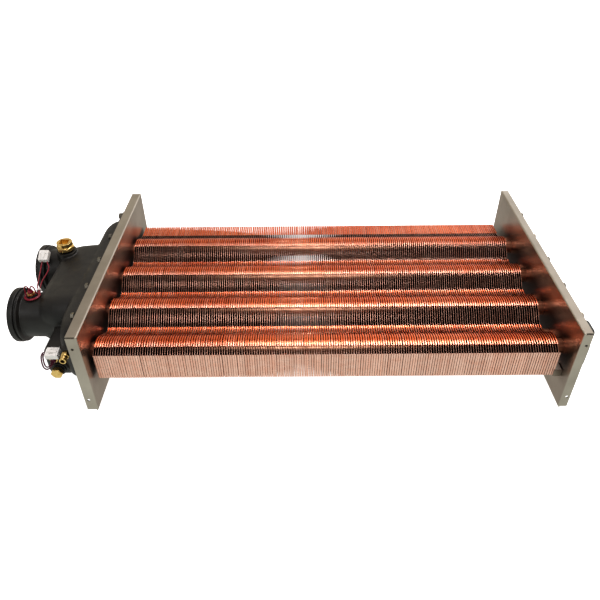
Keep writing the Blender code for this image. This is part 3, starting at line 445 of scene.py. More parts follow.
def arc(centre, radius, start, end, steps):
    """Points on an arc; the angles are in degrees."""
    angles = [math.radians(start + (end - start) * k / steps) for k in range(steps + 1)]
    return [(centre[0] + x, centre[1] + y) for x, y in (around(radius, angle) for angle in angles)]


def rounded_rectangle(corner, opposite, radius, steps=10):
    (x0, y0), (x1, y1) = corner, opposite
    points = []
    for cx, cy, start in ((x1 - radius, y1 - radius, 0), (x0 + radius, y1 - radius, 90),
                          (x0 + radius, y0 + radius, 180), (x1 - radius, y0 + radius, 270)):
        points += arc((cx, cy), radius, start, start + 90, steps)
    return points


def evaluated_mesh(obj):
    """The object's mesh with its modifiers applied; the object goes."""
    bpy.context.view_layer.update()
    graph = bpy.context.evaluated_depsgraph_get()
    mesh = bpy.data.meshes.new_from_object(obj.evaluated_get(graph))
    bpy.data.objects.remove(obj, do_unlink=True)
    return mesh


def combined(mesh, others, operation="UNION"):
    """mesh with the others joined on or cut out."""
    obj = put("helper", mesh)
    helpers = [put("helper", other) for other in others]
    for helper in helpers:
        step = obj.modifiers.new("step", "BOOLEAN")
        step.operation = operation
        step.solver = "MANIFOLD"
        step.object = helper
    result = evaluated_mesh(obj)
    for helper in helpers:
        bpy.data.objects.remove(helper, do_unlink=True)
    return result


def moulded(meshes, voxel, rounds):
    """One skin round overlapping shapes, with its corners melted together as in a moulding."""
    bm = bmesh.new()
    for mesh in meshes:
        bm.from_mesh(mesh)
    obj = put("helper", mesh_from(bm))
    skin = obj.modifiers.new("skin", "REMESH")
    skin.mode = "VOXEL"
    skin.voxel_size = voxel
    melt = obj.modifiers.new("melt", "SMOOTH")
    melt.factor = 0.5
    melt.iterations = rounds
    return evaluated_mesh(obj)


def add_spline(curve, points):
    spline = curve.splines.new("POLY")
    spline.points.add(len(points) - 1)
    for point, place in zip(spline.points, points):
        point.co = (*place, 1)
    return spline


def wire_along(name, points, radius):
    """A round wire through the points, as a curve."""
    curve = bpy.data.curves.new(name, "CURVE")
    curve.dimensions = "3D"
    curve.bevel_depth = radius
    curve.bevel_resolution = 4
    curve.use_fill_caps = True
    add_spline(curve, points)
    return curve


def flat_sheet(outlines, thickness):
    """A sheet in X and Y cut to the first outline, with the others as its holes."""
    curve = bpy.data.curves.new("sheet", "CURVE")
    curve.dimensions = "2D"
    curve.fill_mode = "BOTH"
    curve.extrude = thickness / 2
    for outline in outlines:
        add_spline(curve, [(x, y, 0) for x, y in outline]).use_cyclic_u = True
    mesh = evaluated_mesh(put("helper", curve))
    bm = bmesh.new()
    bm.from_mesh(mesh)
    bmesh.ops.remove_doubles(bm, verts=bm.verts, dist=1e-6)
    return mesh_from(bm)


# ---- the fins ----------------------------------------------------------------------------------
def wave_shape():
    """Centre height of the crests, centre height and radius of the valleys, and their lean."""
    crest_z = PACK_HIGH.z - CREST_RADIUS
    half = TUBE_PITCH / 2
    rise = VALLEY_Z - crest_z
    valley_radius = (half ** 2 + rise ** 2 - CREST_RADIUS ** 2) / (2 * (CREST_RADIUS - rise))
    valley_z = VALLEY_Z + valley_radius
    return crest_z, valley_z, valley_radius, math.degrees(math.atan2(valley_z - crest_z, half))


def fin_outline():
    """A fin's edge: crests over the upper tubes, shallow valleys below, a flat front."""
    crest_z, valley_z, valley_radius, lean = wave_shape()
    front, back = PACK_LOW.y, PACK_HIGH.y
    half = TUBE_PITCH / 2
    first = UPPER_TUBES[0].y
    points = [(front, FRONT_FACE_TOP_Z - 0.002)]
    face_angle = math.degrees(math.acos((front - first + 0.0015) / CREST_RADIUS))
    for number, tube in enumerate(UPPER_TUBES):
        points += arc((tube.y, crest_z), CREST_RADIUS, 180 - lean if number else face_angle, lean, 12)
        if number < len(UPPER_TUBES) - 1:
            points += arc((tube.y + half, valley_z), valley_radius, 180 + lean, 360 - lean, 8)[1:-1]
    points += [(UPPER_TUBES[-1].y + half, REAR_SHOULDER_Z), (back - 0.003, REAR_SHOULDER_Z),
               (back, REAR_SHOULDER_Z - 0.003), (back, PACK_LOW.z + 0.003), (back - 0.003, PACK_LOW.z)]
    depth = BOTTOM_VALLEY_Z - PACK_LOW.z
    for tube in reversed(UPPER_TUBES[1:]):
        for step in range(9):
            shift = math.cos(math.pi * step / 8) * TUBE_PITCH * 0.35
            points.append((tube.y + shift, PACK_LOW.z + depth * math.sin(math.pi * step / 8) ** 2))
    points += [(front + 0.002, PACK_LOW.z), (front, PACK_LOW.z + 0.002)]
    return points


def tab(path, length):
    """A bent tab along a path of (y, z, outward y, outward z), from the fin to length along +X.

    Gives its vertices, its faces and how far each vertex drops when the tab is pressed in."""
    bend = 0.0006
    section = [(0.0, -bend), (bend * 0.12, -bend * 0.5), (bend * 0.5, -bend * 0.12), (bend, 0.0),
               (length * 0.7, 0.0), (length * 0.9, -0.00004), (length, -0.00016),
               (length, -FIN_SHEET), (length * 0.6, -FIN_SHEET), (bend * 1.4, -FIN_SHEET),
               (FIN_SHEET, -bend * 1.3), (FIN_SHEET, -bend * 2)]
    verts = []
    drops = []
    for y, z, out_y, out_z in path:
        for along, out in section:
            verts.append((along, y + out_y * out, z + out_z * out))
            drop = max(0.0, along - bend) / length
            drops.append((0.0, -out_y * drop, -out_z * drop))
    count = len(section)
    faces = []
    for i in range(len(path) - 1):
        for k in range(count):
            j = (k + 1) % count
            faces.append((i * count + k, i * count + j, (i + 1) * count + j, (i + 1) * count + k))
    faces.append(tuple(reversed(range(count))))
    faces.append(tuple(range((len(path) - 1) * count, len(path) * count)))
    return verts, faces, drops


def tab_paths():
    """(path, length, tarnish and painted highlight along it) of each bent tab on a fin."""
    crest_z, valley_z, valley_radius = wave_shape()[:3]
    paths = []
    for number, tube in enumerate(UPPER_TUBES):
        arcs = [(tube.y, crest_z, CREST_RADIUS, CREST_TAB_FRONT, CREST_TAB_BACK, 1)]
        if number < len(UPPER_TUBES) - 1:
            arcs.append((tube.y + TUBE_PITCH / 2, valley_z, valley_radius, VALLEY_TAB_FRONT,
                         VALLEY_TAB_BACK, -1))
        for y, z, radius, start, end, side in arcs:
            path = []
            for k in range(11):
                angle = math.radians(start + (end - start) * k / 10)
                out_y, out_z = math.cos(angle), math.sin(angle)
                path.append((y + radius * out_y, z + radius * out_z, side * out_y, side * out_z))
            # Crest tabs start paler at their front edges, a painted highlight; valley tabs are stained all
            # along.
            tarnish_and_highlight_levels = [0.35, 0.6, 0.85] + [1.0] * 8 if side > 0 else [1.0] * len(path)
            paths.append((path, CREST_TAB, tarnish_and_highlight_levels))
    front = PACK_LOW.y
    face = [(front, z, -1, 0) for z in (PACK_LOW.z + 0.0016, 0.06, 0.075, FRONT_FACE_TOP_Z - 0.002)]
    paths.append((face, FRONT_TAB, [0.0] * 4))
    shoulder = [UPPER_TUBES[-1].y + TUBE_PITCH / 2 + 0.001, PACK_HIGH.y - 0.0035]
    paths.append(([(y, REAR_SHOULDER_Z, 0, 1) for y in shoulder], FRONT_TAB, [1.0, 1.0]))
    for y_from, y_to in ((UPPER_TUBES[1].y - TUBE_PITCH * 0.36, front + 0.003),
                         (PACK_HIGH.y - 0.004, UPPER_TUBES[-1].y + TUBE_PITCH * 0.36)):
        paths.append(([(y, PACK_LOW.z, 0, -1) for y in (y_from, y_to)], FRONT_TAB, [0.8, 0.8]))
    return paths


def make_fins():
    """Every fin with its bent tabs, each a little off its neighbours, as one mesh."""
    holes = [[(tube.y + dy, tube.z + dz) for dy, dz in polygon(TUBE_RADIUS + 0.0001, 28)]
             for tube in UPPER_TUBES + LOWER_TUBES]
    plate = placed(flat_sheet([fin_outline()] + holes, FIN_SHEET), (FIN_SHEET / 2, 0, 0), ALONG_X)
    verts = [tuple(v.co) for v in plate.vertices]
    faces = [tuple(p.vertices) for p in plate.polygons]
    drops = [(0.0, 0.0, 0.0)] * len(verts)
    crest_z = wave_shape()[0]
    on_tabs = [any(-0.012 < y - tube.y < 0.025 for tube in UPPER_TUBES) and z > crest_z + 0.021
               for _, y, z in verts]
    # Plate vertices under the crest tabs are stained; the rest are paler, a painted highlight along the
    # fins' edges.
    tarnish_and_highlight = [1.0 if on_tab else 0.22 for on_tab in on_tabs]
    stretch = [0.0] * len(verts)
    for path, length, tarnish_and_highlight_levels in tab_paths():
        tab_verts, tab_faces, tab_drops = tab(path, length)
        start = len(verts)
        verts += tab_verts
        faces += [tuple(start + i for i in face) for face in tab_faces]
        drops += tab_drops
        tarnish_and_highlight += [tarnish_and_highlight_level for tarnish_and_highlight_level in tarnish_and_highlight_levels for _ in range(len(tab_verts) // len(path))]
        stretch += [max(0.0, v[0] - 0.001) / length for v in tab_verts]
    verts, drops = np.array(verts), np.array(drops)
    tarnish_and_highlight, stretch = np.array(tarnish_and_highlight), np.array(stretch)

    count = int((PACK_HIGH.x - PACK_LOW.x - FRONT_TAB) / FIN_PITCH) + 1
    rng = random.Random(4)
    all_verts = []
    all_faces = []
    all_tarnish_and_highlight = []
    all_shades = []
    for i in range(count):
        fin = verts + drops * rng.uniform(-0.00005, 0.00025)
        short = rng.uniform(0, 0.00025) + (rng.uniform(0.0002, 0.0007) if rng.random() < 0.06 else 0)
        fin[:, 0] -= stretch * short
        turn = rng.uniform(-0.0006, 0.0006)
        bow = rng.uniform(-0.00012, 0.00012)
        phase = rng.uniform(0, 2 * math.pi)
        fin[:, 0] += turn * fin[:, 1] + bow * np.sin(fin[:, 1] * 28 + phase)
        fin[:, 0] += PACK_LOW.x + 0.0001 + i * FIN_PITCH + rng.uniform(0, 0.00006)
        all_verts.append(fin)
        start = i * len(verts)
        all_faces += [tuple(start + k for k in face) for face in faces]
        all_tarnish_and_highlight.append(np.clip(tarnish_and_highlight + rng.uniform(-0.12, 0.12), 0, 1))
        all_shades.append(np.full(len(verts), rng.random()))
    mesh = bpy.data.meshes.new("fins")
    mesh.from_pydata(np.concatenate(all_verts).tolist(), [], all_faces)
    for name, values in (("tarnish_and_highlight", all_tarnish_and_highlight), ("fin_shade", all_shades)):
        layer = mesh.attributes.new(name, "FLOAT", "POINT")
        layer.data.foreach_set("value", np.concatenate(values).astype(np.float32))
    show("copper_fins", smooth(mesh, 40), "copper_fins", "fin_pack")


def make_tubes():
    for row, tubes in (("upper", UPPER_TUBES), ("lower", LOWER_TUBES)):
        for number, tube in enumerate(tubes, 1):
            node = f"{row}_tube_{number}"
            start = Vector((low(node).x, tube.y, tube.z))
            length = high(node).x - low(node).x
            inner = TUBE_RADIUS - TUBE_WALL
            wall = fillet([(inner, length), (TUBE_RADIUS, length), (TUBE_RADIUS, 0), (inner, 0)],
                          0.0004, 2, closed=True)
            tube_mesh = turned(wall, start, FACE_RIGHT, 48, closed=True)
            show(f"{row}_copper_tube_{number}", smooth(tube_mesh), "copper_tube", node)


# ---- the pans ----------------------------------------------------------------------------------
def make_pan(node, outward):
    """A folded pan: a web across the tubes and four flanges folded away from the fins."""
    inner_x = HEADER_PAN_X if outward < 0 else RETURN_PAN_X
    reach = low(node).x if outward < 0 else high(node).x
    half = PAN_HALF_DEPTH
    bm = bmesh.new()
    bm.from_mesh(block((min(inner_x, reach), -half, 0), (max(inner_x, reach), half, PAN_HEIGHT)))
    folds = [e for e in bm.edges if all(abs(v.co.x - inner_x) < GAP for v in e.verts)]
    round_edges(bm, folds, PAN_FOLD_RADIUS, 6)
    outside = mesh_from(bm)

    room_x = sorted((inner_x + outward * PAN_SHEET, reach + outward * 0.01))
    cutters = [block((room_x[0], -half + PAN_SHEET, PAN_SHEET),
                     (room_x[1], half - PAN_SHEET, PAN_HEIGHT - PAN_SHEET))]
    relief_x = sorted((inner_x + outward * PAN_FOLD_RADIUS, reach + outward * 0.01))
    for y in (-half, half):
        for z in (0, PAN_HEIGHT):
            cutters.append(block((relief_x[0], y - PAN_CORNER_RELIEF, z - PAN_CORNER_RELIEF),
                                 (relief_x[1], y + PAN_CORNER_RELIEF, z + PAN_CORNER_RELIEF)))
    tube_hole = polygon(TUBE_RADIUS + GAP, 40)
    for tube in UPPER_TUBES + LOWER_TUBES:
        cutters.append(prism(tube_hole, 0, 0.02, (inner_x - 0.01, tube.y, tube.z), FACE_RIGHT))
    hole_x = inner_x + (reach - inner_x) * PAN_HOLE_PLACE
    for z in PAN_HOLE_HEIGHTS:
        hole = polygon(PAN_HOLE_RADIUS, 20)
        cutters.append(prism(hole, 0, 0.02, (hole_x, -half - 0.01, z), FACE_BACK))
    mesh = crisp(combined(outside, cutters, "DIFFERENCE"))
    show(node.replace("_pan", "_end_pan"), mesh, "stainless_sheet", node)


# ---- the two headers ---------------------------------------------------------------------------
# outward distance from the flange, y low, y high, z low, z high, corner radius
CHAMBER_SHAPE = (
    (-0.0020, -0.1810, 0.1710, 0.0225, 0.1210, 0.034),
    (0.0080, -0.1805, 0.1690, 0.0225, 0.1210, 0.034),
    (0.0130, -0.1790, 0.1660, 0.0227, 0.1208, 0.034),
    (0.0180, -0.1745, 0.1610, 0.0235, 0.1200, 0.034),
    (0.0225, -0.1670, 0.1530, 0.0250, 0.1185, 0.034),
    (0.0258, -0.1560, 0.1420, 0.0280, 0.1155, 0.033),
    (0.0275, -0.1440, 0.1290, 0.0320, 0.1115, 0.032),
)
BODY_SHAPE = (
    (0.0100, -0.1075, 0.0880, 0.0260, 0.1190, 0.030),
    (0.0325, -0.1080, 0.0875, 0.0265, 0.1185, 0.030),
    (0.0540, -0.1075, 0.0865, 0.0285, 0.1170, 0.030),
    (0.0700, -0.1055, 0.0850, 0.0310, 0.1142, 0.031),
    (0.0790, -0.1015, 0.0815, 0.0350, 0.1105, 0.031),
    (0.0830, -0.0945, 0.0755, 0.0405, 0.1045, 0.029),
)
RETURN_SHAPE = (
    (-0.0020, -0.1800, 0.1700, 0.0325, 0.1110, 0.018),
    (0.0060, -0.1790, 0.1690, 0.0330, 0.1105, 0.019),
    (0.0140, -0.1740, 0.1640, 0.0370, 0.1065, 0.021),
    (0.0200, -0.1640, 0.1540, 0.0450, 0.0985, 0.020),
    (0.0246, -0.1500, 0.1400, 0.0540, 0.0895, 0.016),
)


def loft(sections):
    """A closed skin through rounded rectangles; a section is (x, y low, y high, z low, z high, r)."""
    bm = bmesh.new()
    rings = []
    for x, y_low, y_high, z_low, z_high, radius in sections:
        outline = rounded_rectangle((y_low, z_low), (y_high, z_high), radius, 12)
        rings.append([bm.verts.new((x, y, z)) for y, z in outline])
    for ring, following in zip(rings, rings[1:]):
        band(bm, ring, following)
    bm.faces.new(rings[0])
    bm.faces.new(list(reversed(rings[-1])))
    return mesh_from(bm)


def header_sections(shape, face_x, outward, shrink=0.0, y_from=None, y_to=None):
    """The shape's sections out from a flange's face, or the room inside its wall."""
    sections = []
    for out, y_low, y_high, z_low, z_high, radius in shape:
        lowest = y_low + shrink if y_from is None else y_from
        highest = y_high - shrink if y_to is None else y_to
        corner = min(radius - shrink, 0.49 * (highest - lowest)) if shrink else radius
        sections.append((face_x + outward * out, lowest, highest, z_low + shrink, z_high - shrink, corner))
    return sections


def flange_plate(plate, x_low, x_high):
    """A flange as wide and high as a tube plate."""
    corners = [(place(plate).y, place(plate).z) for place in (low, high)]
    outline = rounded_rectangle(*corners, FLANGE_CORNER, 16)
    return prism(outline, 0, x_high - x_low, (x_low, 0, 0), ALONG_X)


def port_profile():
    """A port's outside from its end face inwards: rim, union groove, bead and neck."""
    reach = PORT_REACH - PORT_ROOT
    rim = PORT_FLANGE_RADIUS
    corners = [(0, reach), (rim, reach), (rim, reach - 0.0085), (rim - 0.0035, reach - 0.0090),
               (rim - 0.0035, reach - 0.0110), (rim - 0.001, reach - 0.0115),
               (rim - 0.001, reach - 0.0140), (PORT_NECK_RADIUS, reach - 0.0160),
               (PORT_NECK_RADIUS, 0), (0, 0)]
    return fillet(corners, 0.0014, 4)


# by the node in a boss: its direction and its shank's length, the boss's radius and depth, the bore's
BOSSES = {
    "upper_brass_plug": (UPRIGHT, 0.0130, 0.0165, 0.014, 0.0080, 0.026),
    "upper_water_sensor": (UPRIGHT, 0.0280, 0.0062, 0.012, 0.0033, 0.026),
    "pressure_tap_fitting": (FACE_FRONT, 0.0180, 0.0085, 0.014, 0.0043, 0.030),
    "lower_water_sensor": (FACE_FRONT, 0.0700, 0.0075, 0.014, 0.0033, 0.070),
    "drain_plug": (FACE_FRONT, 0.0160, 0.0110, 0.014, 0.0060, 0.070),
}


def boss_face(node):
    """Centre of the boss's face that a screwed-in node stands on, from the end of its shank."""
    rotation, shank = BOSSES[node][:2]
    if rotation is UPRIGHT:
        return Vector((middle(node).x, middle(node).y, low(node).z + shank))
    return Vector((middle(node).x, high(node).y - shank, middle(node).z))


def make_header():
    shapes = [loft(header_sections(CHAMBER_SHAPE, FLANGE_X, -1)),
              loft(header_sections(BODY_SHAPE, FLANGE_X, -1)),
              flange_plate("header_tube_plate", FLANGE_X, MATING_X),
              block((FLANGE_X - 0.0560, -0.1655, 0.0300), (FLANGE_X - 0.0150, -0.0900, 0.0805), 0.009)]
    root_x = FLANGE_X - PORT_ROOT
    for port in PORTS:
        neck = [(0, 0.06), (PORT_NECK_RADIUS, 0.06), (PORT_NECK_RADIUS, 0), (0, 0)]
        shapes.append(turned(neck, (root_x, port.y, port.z), FACE_LEFT, 96))
    bosses = []
    cutters = []
    for node, (rotation, _, radius, depth, bore_radius, bore_depth) in BOSSES.items():
        face = boss_face(node)
        out = rotation.to_matrix() @ Vector((0, 0, 1))
        root = fillet([(0, depth - 0.002), (radius, depth - 0.002), (radius, 0), (0, 0)], 0.001)
        shapes.append(turned(root, face - out * depth, rotation, 40))
        rim = fillet([(0, depth), (radius, depth), (radius, 0.002), (0, 0.002)], 0.0008, 3)
        bosses.append(turned(rim, face - out * depth, rotation, 48))
        cutters.append(prism(polygon(bore_radius, 40), -bore_depth, 0.01, face, rotation))
    skin = moulded(shapes, 0.0013, 7)
    ports = [turned(port_profile(), (root_x, port.y, port.z), FACE_LEFT, 96) for port in PORTS]
    skin = combined(skin, ports + bosses)

    front, back = PARTITION_Y - PARTITION_THICK / 2, PARTITION_Y + PARTITION_THICK / 2
    for limits in ({"y_to": front}, {"y_from": back}):
        chamber = header_sections(CHAMBER_SHAPE[:-1], FLANGE_X, -1, HEADER_WALL, **limits)
        cutters.append(loft([(MATING_X + 0.01, *chamber[0][1:])] + chamber))
        cutters.append(loft(header_sections(BODY_SHAPE[:-1], FLANGE_X, -1, HEADER_WALL, **limits)))
    for port in PORTS:
        cutters.append(prism(polygon(PORT_BORE_RADIUS, 64), 0, 0.1,
                             (FLANGE_X - 0.060, port.y, port.z), FACE_LEFT))
        groove = 2 * PORT_RING_WIRE
        wide = PORT_RING_WIRE + 0.0002
        cutters.append(turned([(PORT_RING_RADIUS - wide, 0.002), (PORT_RING_RADIUS + wide, 0.002),
                               (PORT_RING_RADIUS + wide, -groove), (PORT_RING_RADIUS - wide, -groove)],
                              (PORT_FACE_X, port.y, port.z), FACE_LEFT, 96, closed=True))
    mesh = smooth(combined(skin, cutters, "DIFFERENCE"), 40)
    show("two_port_header", mesh, "black_polymer", "header_body")


def make_return_header():
    lug = block((RETURN_MATING_X + 0.004, -0.1860, 0.0950), (RETURN_FLANGE_X + 0.0085, -0.1560, 0.1280),
                0.006)
    shapes = [loft(header_sections(RETURN_SHAPE, RETURN_FLANGE_X, 1)),
              flange_plate("return_tube_plate", RETURN_MATING_X, RETURN_FLANGE_X), lug]
    skin = moulded(shapes, 0.0014, 7)
    inside = header_sections(RETURN_SHAPE[:-1], RETURN_FLANGE_X, 1, 0.004)
    room = loft([(RETURN_MATING_X - 0.01, *inside[0][1:])] + inside)
    mesh = smooth(combined(skin, [room], "DIFFERENCE"), 40)
    show("moulded_return_header", mesh, "black_polymer", "return_header")


def make_bolts():
    """Flanged hex bolts, their heads chamfered and dished."""
    washer, head = 0.0010, 0.0045
    top = washer + head
    corner = 0.0056
    for side, rotation, face_x, out in (("header", FACE_LEFT, FLANGE_X, -1),
                                        ("return", FACE_RIGHT, RETURN_FLANGE_X, 1)):
        shank = high(f"{side}_bolt_upper_1").x - low(f"{side}_bolt_upper_1").x - washer - head
        disc = fillet([(0, washer), (0.0040, washer + 0.0004), (0.0058, washer * 0.7), (0.0058, 0),
                       (0.003, 0), (0.003, -shank), (0, -shank)], 0.0004, 3)
        hexagon = prism(polygon(corner, 6), washer / 2, top)
        cone = turned([(0, top), (corner * 0.80, top), (corner * 1.02, top - 0.0011),
                       (corner * 1.02, 0), (0, 0)], steps=40)
        chamfered = combined(hexagon, [cone], "INTERSECT")
        dish = turned([(0, top + 0.001), (0.0034, top + 0.001), (0.0028, top - 0.0006),
                       (0, top - 0.0006)], steps=32)
        master = combined(combined(turned(disc, steps=40), [chamfered]), [dish], "DIFFERENCE")
        rng = random.Random(11)
        for row in ("lower", "upper"):
            for number in range(1, 6):
                node = f"{side}_bolt_{row}_{number}"
                place = Vector((face_x + out * GAP, middle(node).y, middle(node).z))
                mesh = master.copy()
                mesh.transform(Matrix.Rotation(rng.uniform(0, math.pi), 4, "Z"))
                placed(mesh, place, rotation)
                show(f"{side}_hex_bolt_{row}_{number}", smooth(mesh), "zinc_steel", node)


# ---- O-rings and fittings ----------------------------------------------------------------------
def make_rings():
    rings = (("near_port_o_ring", BODY, FACE_LEFT), ("far_port_o_ring", BODY, FACE_LEFT),
             ("upper_plug_o_ring", "upper_plug", UPRIGHT), ("drain_plug_o_ring", "drain", FACE_FRONT))
    for node, body, rotation in rings:
        size = high(node) - low(node)
        wire = min(size) / 2
        radius = max(size) / 2 - wire
        section = [(radius + y, z) for y, z in polygon(wire, 16)]
        mesh = turned(section, middle(node), rotation, 96, closed=True)
        show(node.replace("o_ring", "seal_ring"), smooth(mesh, 80), "black_rubber", node, body)


def screwed_piece(profile, radius, start, end):
    """A turned piece with a chamfered hexagon round it from start to end."""
    mesh = turned(fillet(profile, 0.0004, 3), steps=56)
    hexagon = prism(polygon(radius, 6), start, end)
    cone = turned([(0, end), (radius * 0.88, end), (radius * 1.01, end - radius * 0.09),
                   (radius * 1.01, start + radius * 0.09), (radius * 0.88, start), (0, start)], steps=56)
    return combined(mesh, [combined(hexagon, [cone], "INTERSECT")])


def thread(radius, start, end, pitch=0.0013, depth=0.0004):
    """Profile points of a screwed shank's crests, from its head down."""
    points = []
    height = start
    while height - pitch > end:
        points += [(radius, height - pitch * 0.25), (radius - depth, height - pitch * 0.75)]
        height -= pitch
    return points


def make_fittings():
    seat = 0.0030
    profile = [(0, 0.0166), (0.0128, 0.0166), (0.0128, 0.0110), (0.0122, 0.0104), (0.0122, 0.0096),
               (0.0136, 0.0090), (0.0136, seat), (0.0076, seat)] + thread(0.0076, seat - 0.001, -0.012)
    profile += [(0.0070, -0.0130), (0, -0.0130)]
    plug = screwed_piece(profile, 0.0155, seat + 0.0004, 0.0088)
    half = 0.0072
    socket = prism(rounded_rectangle((-half, -half), (half, half), 0.0010, 3), 0.0080, 0.0220)
    plug = placed(combined(plug, [socket], "DIFFERENCE"), boss_face("upper_brass_plug"))
    show("upper_plug_socket_cap", smooth(plug), "brass", "upper_brass_plug", "upper_plug")

    profile = [(0, 0.0106), (0.0040, 0.0110), (0.0076, 0.0104), (0.0076, 0.0026), (0.0057, 0.0026)]
    profile += thread(0.0057, 0.0020, -0.015) + [(0.0050, -0.0160), (0, -0.0160)]
    drain = placed(screwed_piece(profile, 0.0092, 0.0030, 0.0098), boss_face("drain_plug"), FACE_FRONT)
    show("drain_plug_cap", smooth(drain), "brass", "drain_plug", "drain")

    for node, potting_slot in (("upper_water_sensor", "red_lead"), ("lower_water_sensor", "purple_lead")):
        rotation, reach = BOSSES[node][:2]
        profile = [(0, 0.0047), (0.0046, 0.0047), (0.0050, 0.0044), (0.0050, 0.0003), (0.0030, 0.0003),
                   (0.0030, -reach), (0, -reach)]
        sensor = placed(screwed_piece(profile, 0.0062, 0.0006, 0.0046), boss_face(node), rotation)
        show(node.replace("sensor", "sensor_body"), smooth(sensor), "brass", node)
        dome = fillet([(0, 0.0090), (0.0036, 0.0090), (0.0046, 0.0050), (0, 0.0050)], 0.0007, 4)
        potting = turned(dome, boss_face(node), rotation, 40)
        show(node.replace("sensor", "sensor_potting"), smooth(potting), potting_slot, node)

    profile = [(0, 0.0160), (0.0046, 0.0160), (0.0051, 0.0154), (0.0051, 0.0142)]
    profile += thread(0.0051, 0.0142, 0.0085, 0.0010, 0.0005)
    profile += [(0.0044, 0.0080), (0.0044, 0.0060), (0.0054, 0.0056), (0.0054, 0.0003), (0.0040, 0.0003),
                (0.0040, -0.0180), (0, -0.0180)]
    fitting = screwed_piece(profile, 0.0062, 0.0006, 0.0052)
    bore = prism(polygon(0.0032, 32), -0.03, 0.03)
    fitting = placed(combined(fitting, [bore], "DIFFERENCE"), boss_face("pressure_tap_fitting"), FACE_FRONT)
    show("pressure_tap", smooth(fitting), "brass", "pressure_tap_fitting")


def make_spring():
    """The bypass valve's coil, wound at one length; on the valve it shortens against its cage as the valve
    lifts.
    """
    node = "bypass_spring"
    wire = 0.0008
    centre = middle(node)
    start, end = low(node).y + wire, high(node).y - wire
    turns, per_turn = 5, 40
    points = []
    for i in range(turns * per_turn + 1):
        x, z = around(0.009, 2 * math.pi * i / per_turn)
        points.append((centre.x + x, start + (end - start) * i / (turns * per_turn), centre.z + z))
    coil = evaluated_mesh(put("helper", wire_along("spring", points, wire)))
    spring = show("valve_spring", smooth(coil, 60), "zinc_steel", node)
    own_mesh(spring)


# ---- leads and their connectors ----------------------------------------------------------------
UPPER_SENSOR = Vector((*middle("upper_water_sensor").xy, high("upper_water_sensor").z))
# X from the middle of the exchanger, Y and Z
UPPER_RUN_A = (
    (-0.4530, -0.0580, 0.1122), (-0.4566, -0.0430, 0.1115), (-0.4592, -0.0300, 0.1100),
    (-0.4603, -0.0180, 0.1088), (-0.4606, -0.0060, 0.1082), (-0.4612, 0.0050, 0.1084),
    (-0.4635, 0.0140, 0.1093), (-0.4668, 0.0195, 0.1106), (-0.4683, 0.0234, 0.1124))
UPPER_RUN_B = (
    (-0.4551, -0.0580, 0.1122), (-0.4612, -0.0443, 0.1113), (-0.4655, -0.0300, 0.1096),
    (-0.4697, -0.0150, 0.1084), (-0.4732, 0.0000, 0.1080), (-0.4756, 0.0100, 0.1085),
    (-0.4768, 0.0175, 0.1100), (-0.4770, 0.0234, 0.1124))
LOWER_ROUTE_A = (
    (-0.4051, -0.1783, 0.0700), (-0.4055, -0.1812, 0.0694), (-0.4068, -0.1834, 0.0680),
    (-0.4088, -0.1846, 0.0668), (-0.4112, -0.1846, 0.0664), (-0.4134, -0.1834, 0.0680),
    (-0.4148, -0.1816, 0.0714), (-0.4153, -0.1799, 0.0757), (-0.4154, -0.1779, 0.0801),
    (-0.4144, -0.1762, 0.0834), (-0.4119, -0.1754, 0.0844))
LOWER_ROUTE_B = (
    (-0.4029, -0.1783, 0.0700), (-0.4034, -0.1820, 0.0691), (-0.4052, -0.1852, 0.0671),
    (-0.4082, -0.1872, 0.0652), (-0.4118, -0.1872, 0.0646), (-0.4150, -0.1858, 0.0662),
    (-0.4172, -0.1832, 0.0700), (-0.4183, -0.1800, 0.0752), (-0.4184, -0.1766, 0.0802),
    (-0.4164, -0.1732, 0.0837), (-0.4119, -0.1716, 0.0844))


def from_middle(route):
    return [Vector((MID_X + x, y, z)) for x, y, z in route]


def ring_route(start_angle, end_angle):
    """Up out of the upper sensor, over, and round it in a flat spiral that grows outwards."""
    side = Vector((math.cos(start_angle), math.sin(start_angle), 0))
    top = UPPER_SENSOR + Vector((0, 0, GAP))
    hump = ((0.0011, 0), (0.0013, 0.0030), (0.0026, 0.0058), (0.0047, 0.0068), (0.0067, 0.0054),
            (0.0078, 0.0020), (0.0081, -0.0025))
    points = [top + side * out + Vector((0, 0, up)) for out, up in hump]
    count = round((end_angle - start_angle) / math.radians(20))
    for i in range(count + 1):
        angle = start_angle + (end_angle - start_angle) * i / count
        out = RING_START + RING_GROWTH * (angle - start_angle) / (2 * math.pi)
        settle = (0.0062, 0.0016)[i] if i < 2 else 0.0
        x, y = around(out, angle)
        points.append(Vector((UPPER_SENSOR.x + x, UPPER_SENSOR.y + y, RING_Z + settle)))
    return points


def smooth_route(points, steps=8):
    """Points on the smooth curve through a route's own points."""
    ends = [2 * points[0] - points[1]] + points + [2 * points[-1] - points[-2]]
    fine = []
    for before, start, end, after in zip(ends, ends[1:], ends[2:], ends[3:]):
        for i in range(steps):
            t = i / steps
            fine.append(0.5 * (2 * start + (end - before) * t
                               + (2 * before - 5 * start + 4 * end - after) * t ** 2
                               + (3 * start - before - 3 * end + after) * t ** 3))
    fine.append(points[-1])
    return fine


def make_lead(node, route, slot):
    points = smooth_route(route)
    lead = show(node.replace("_lead", "_wire"), wire_along(node, points, LEAD_RADIUS), slot, node)


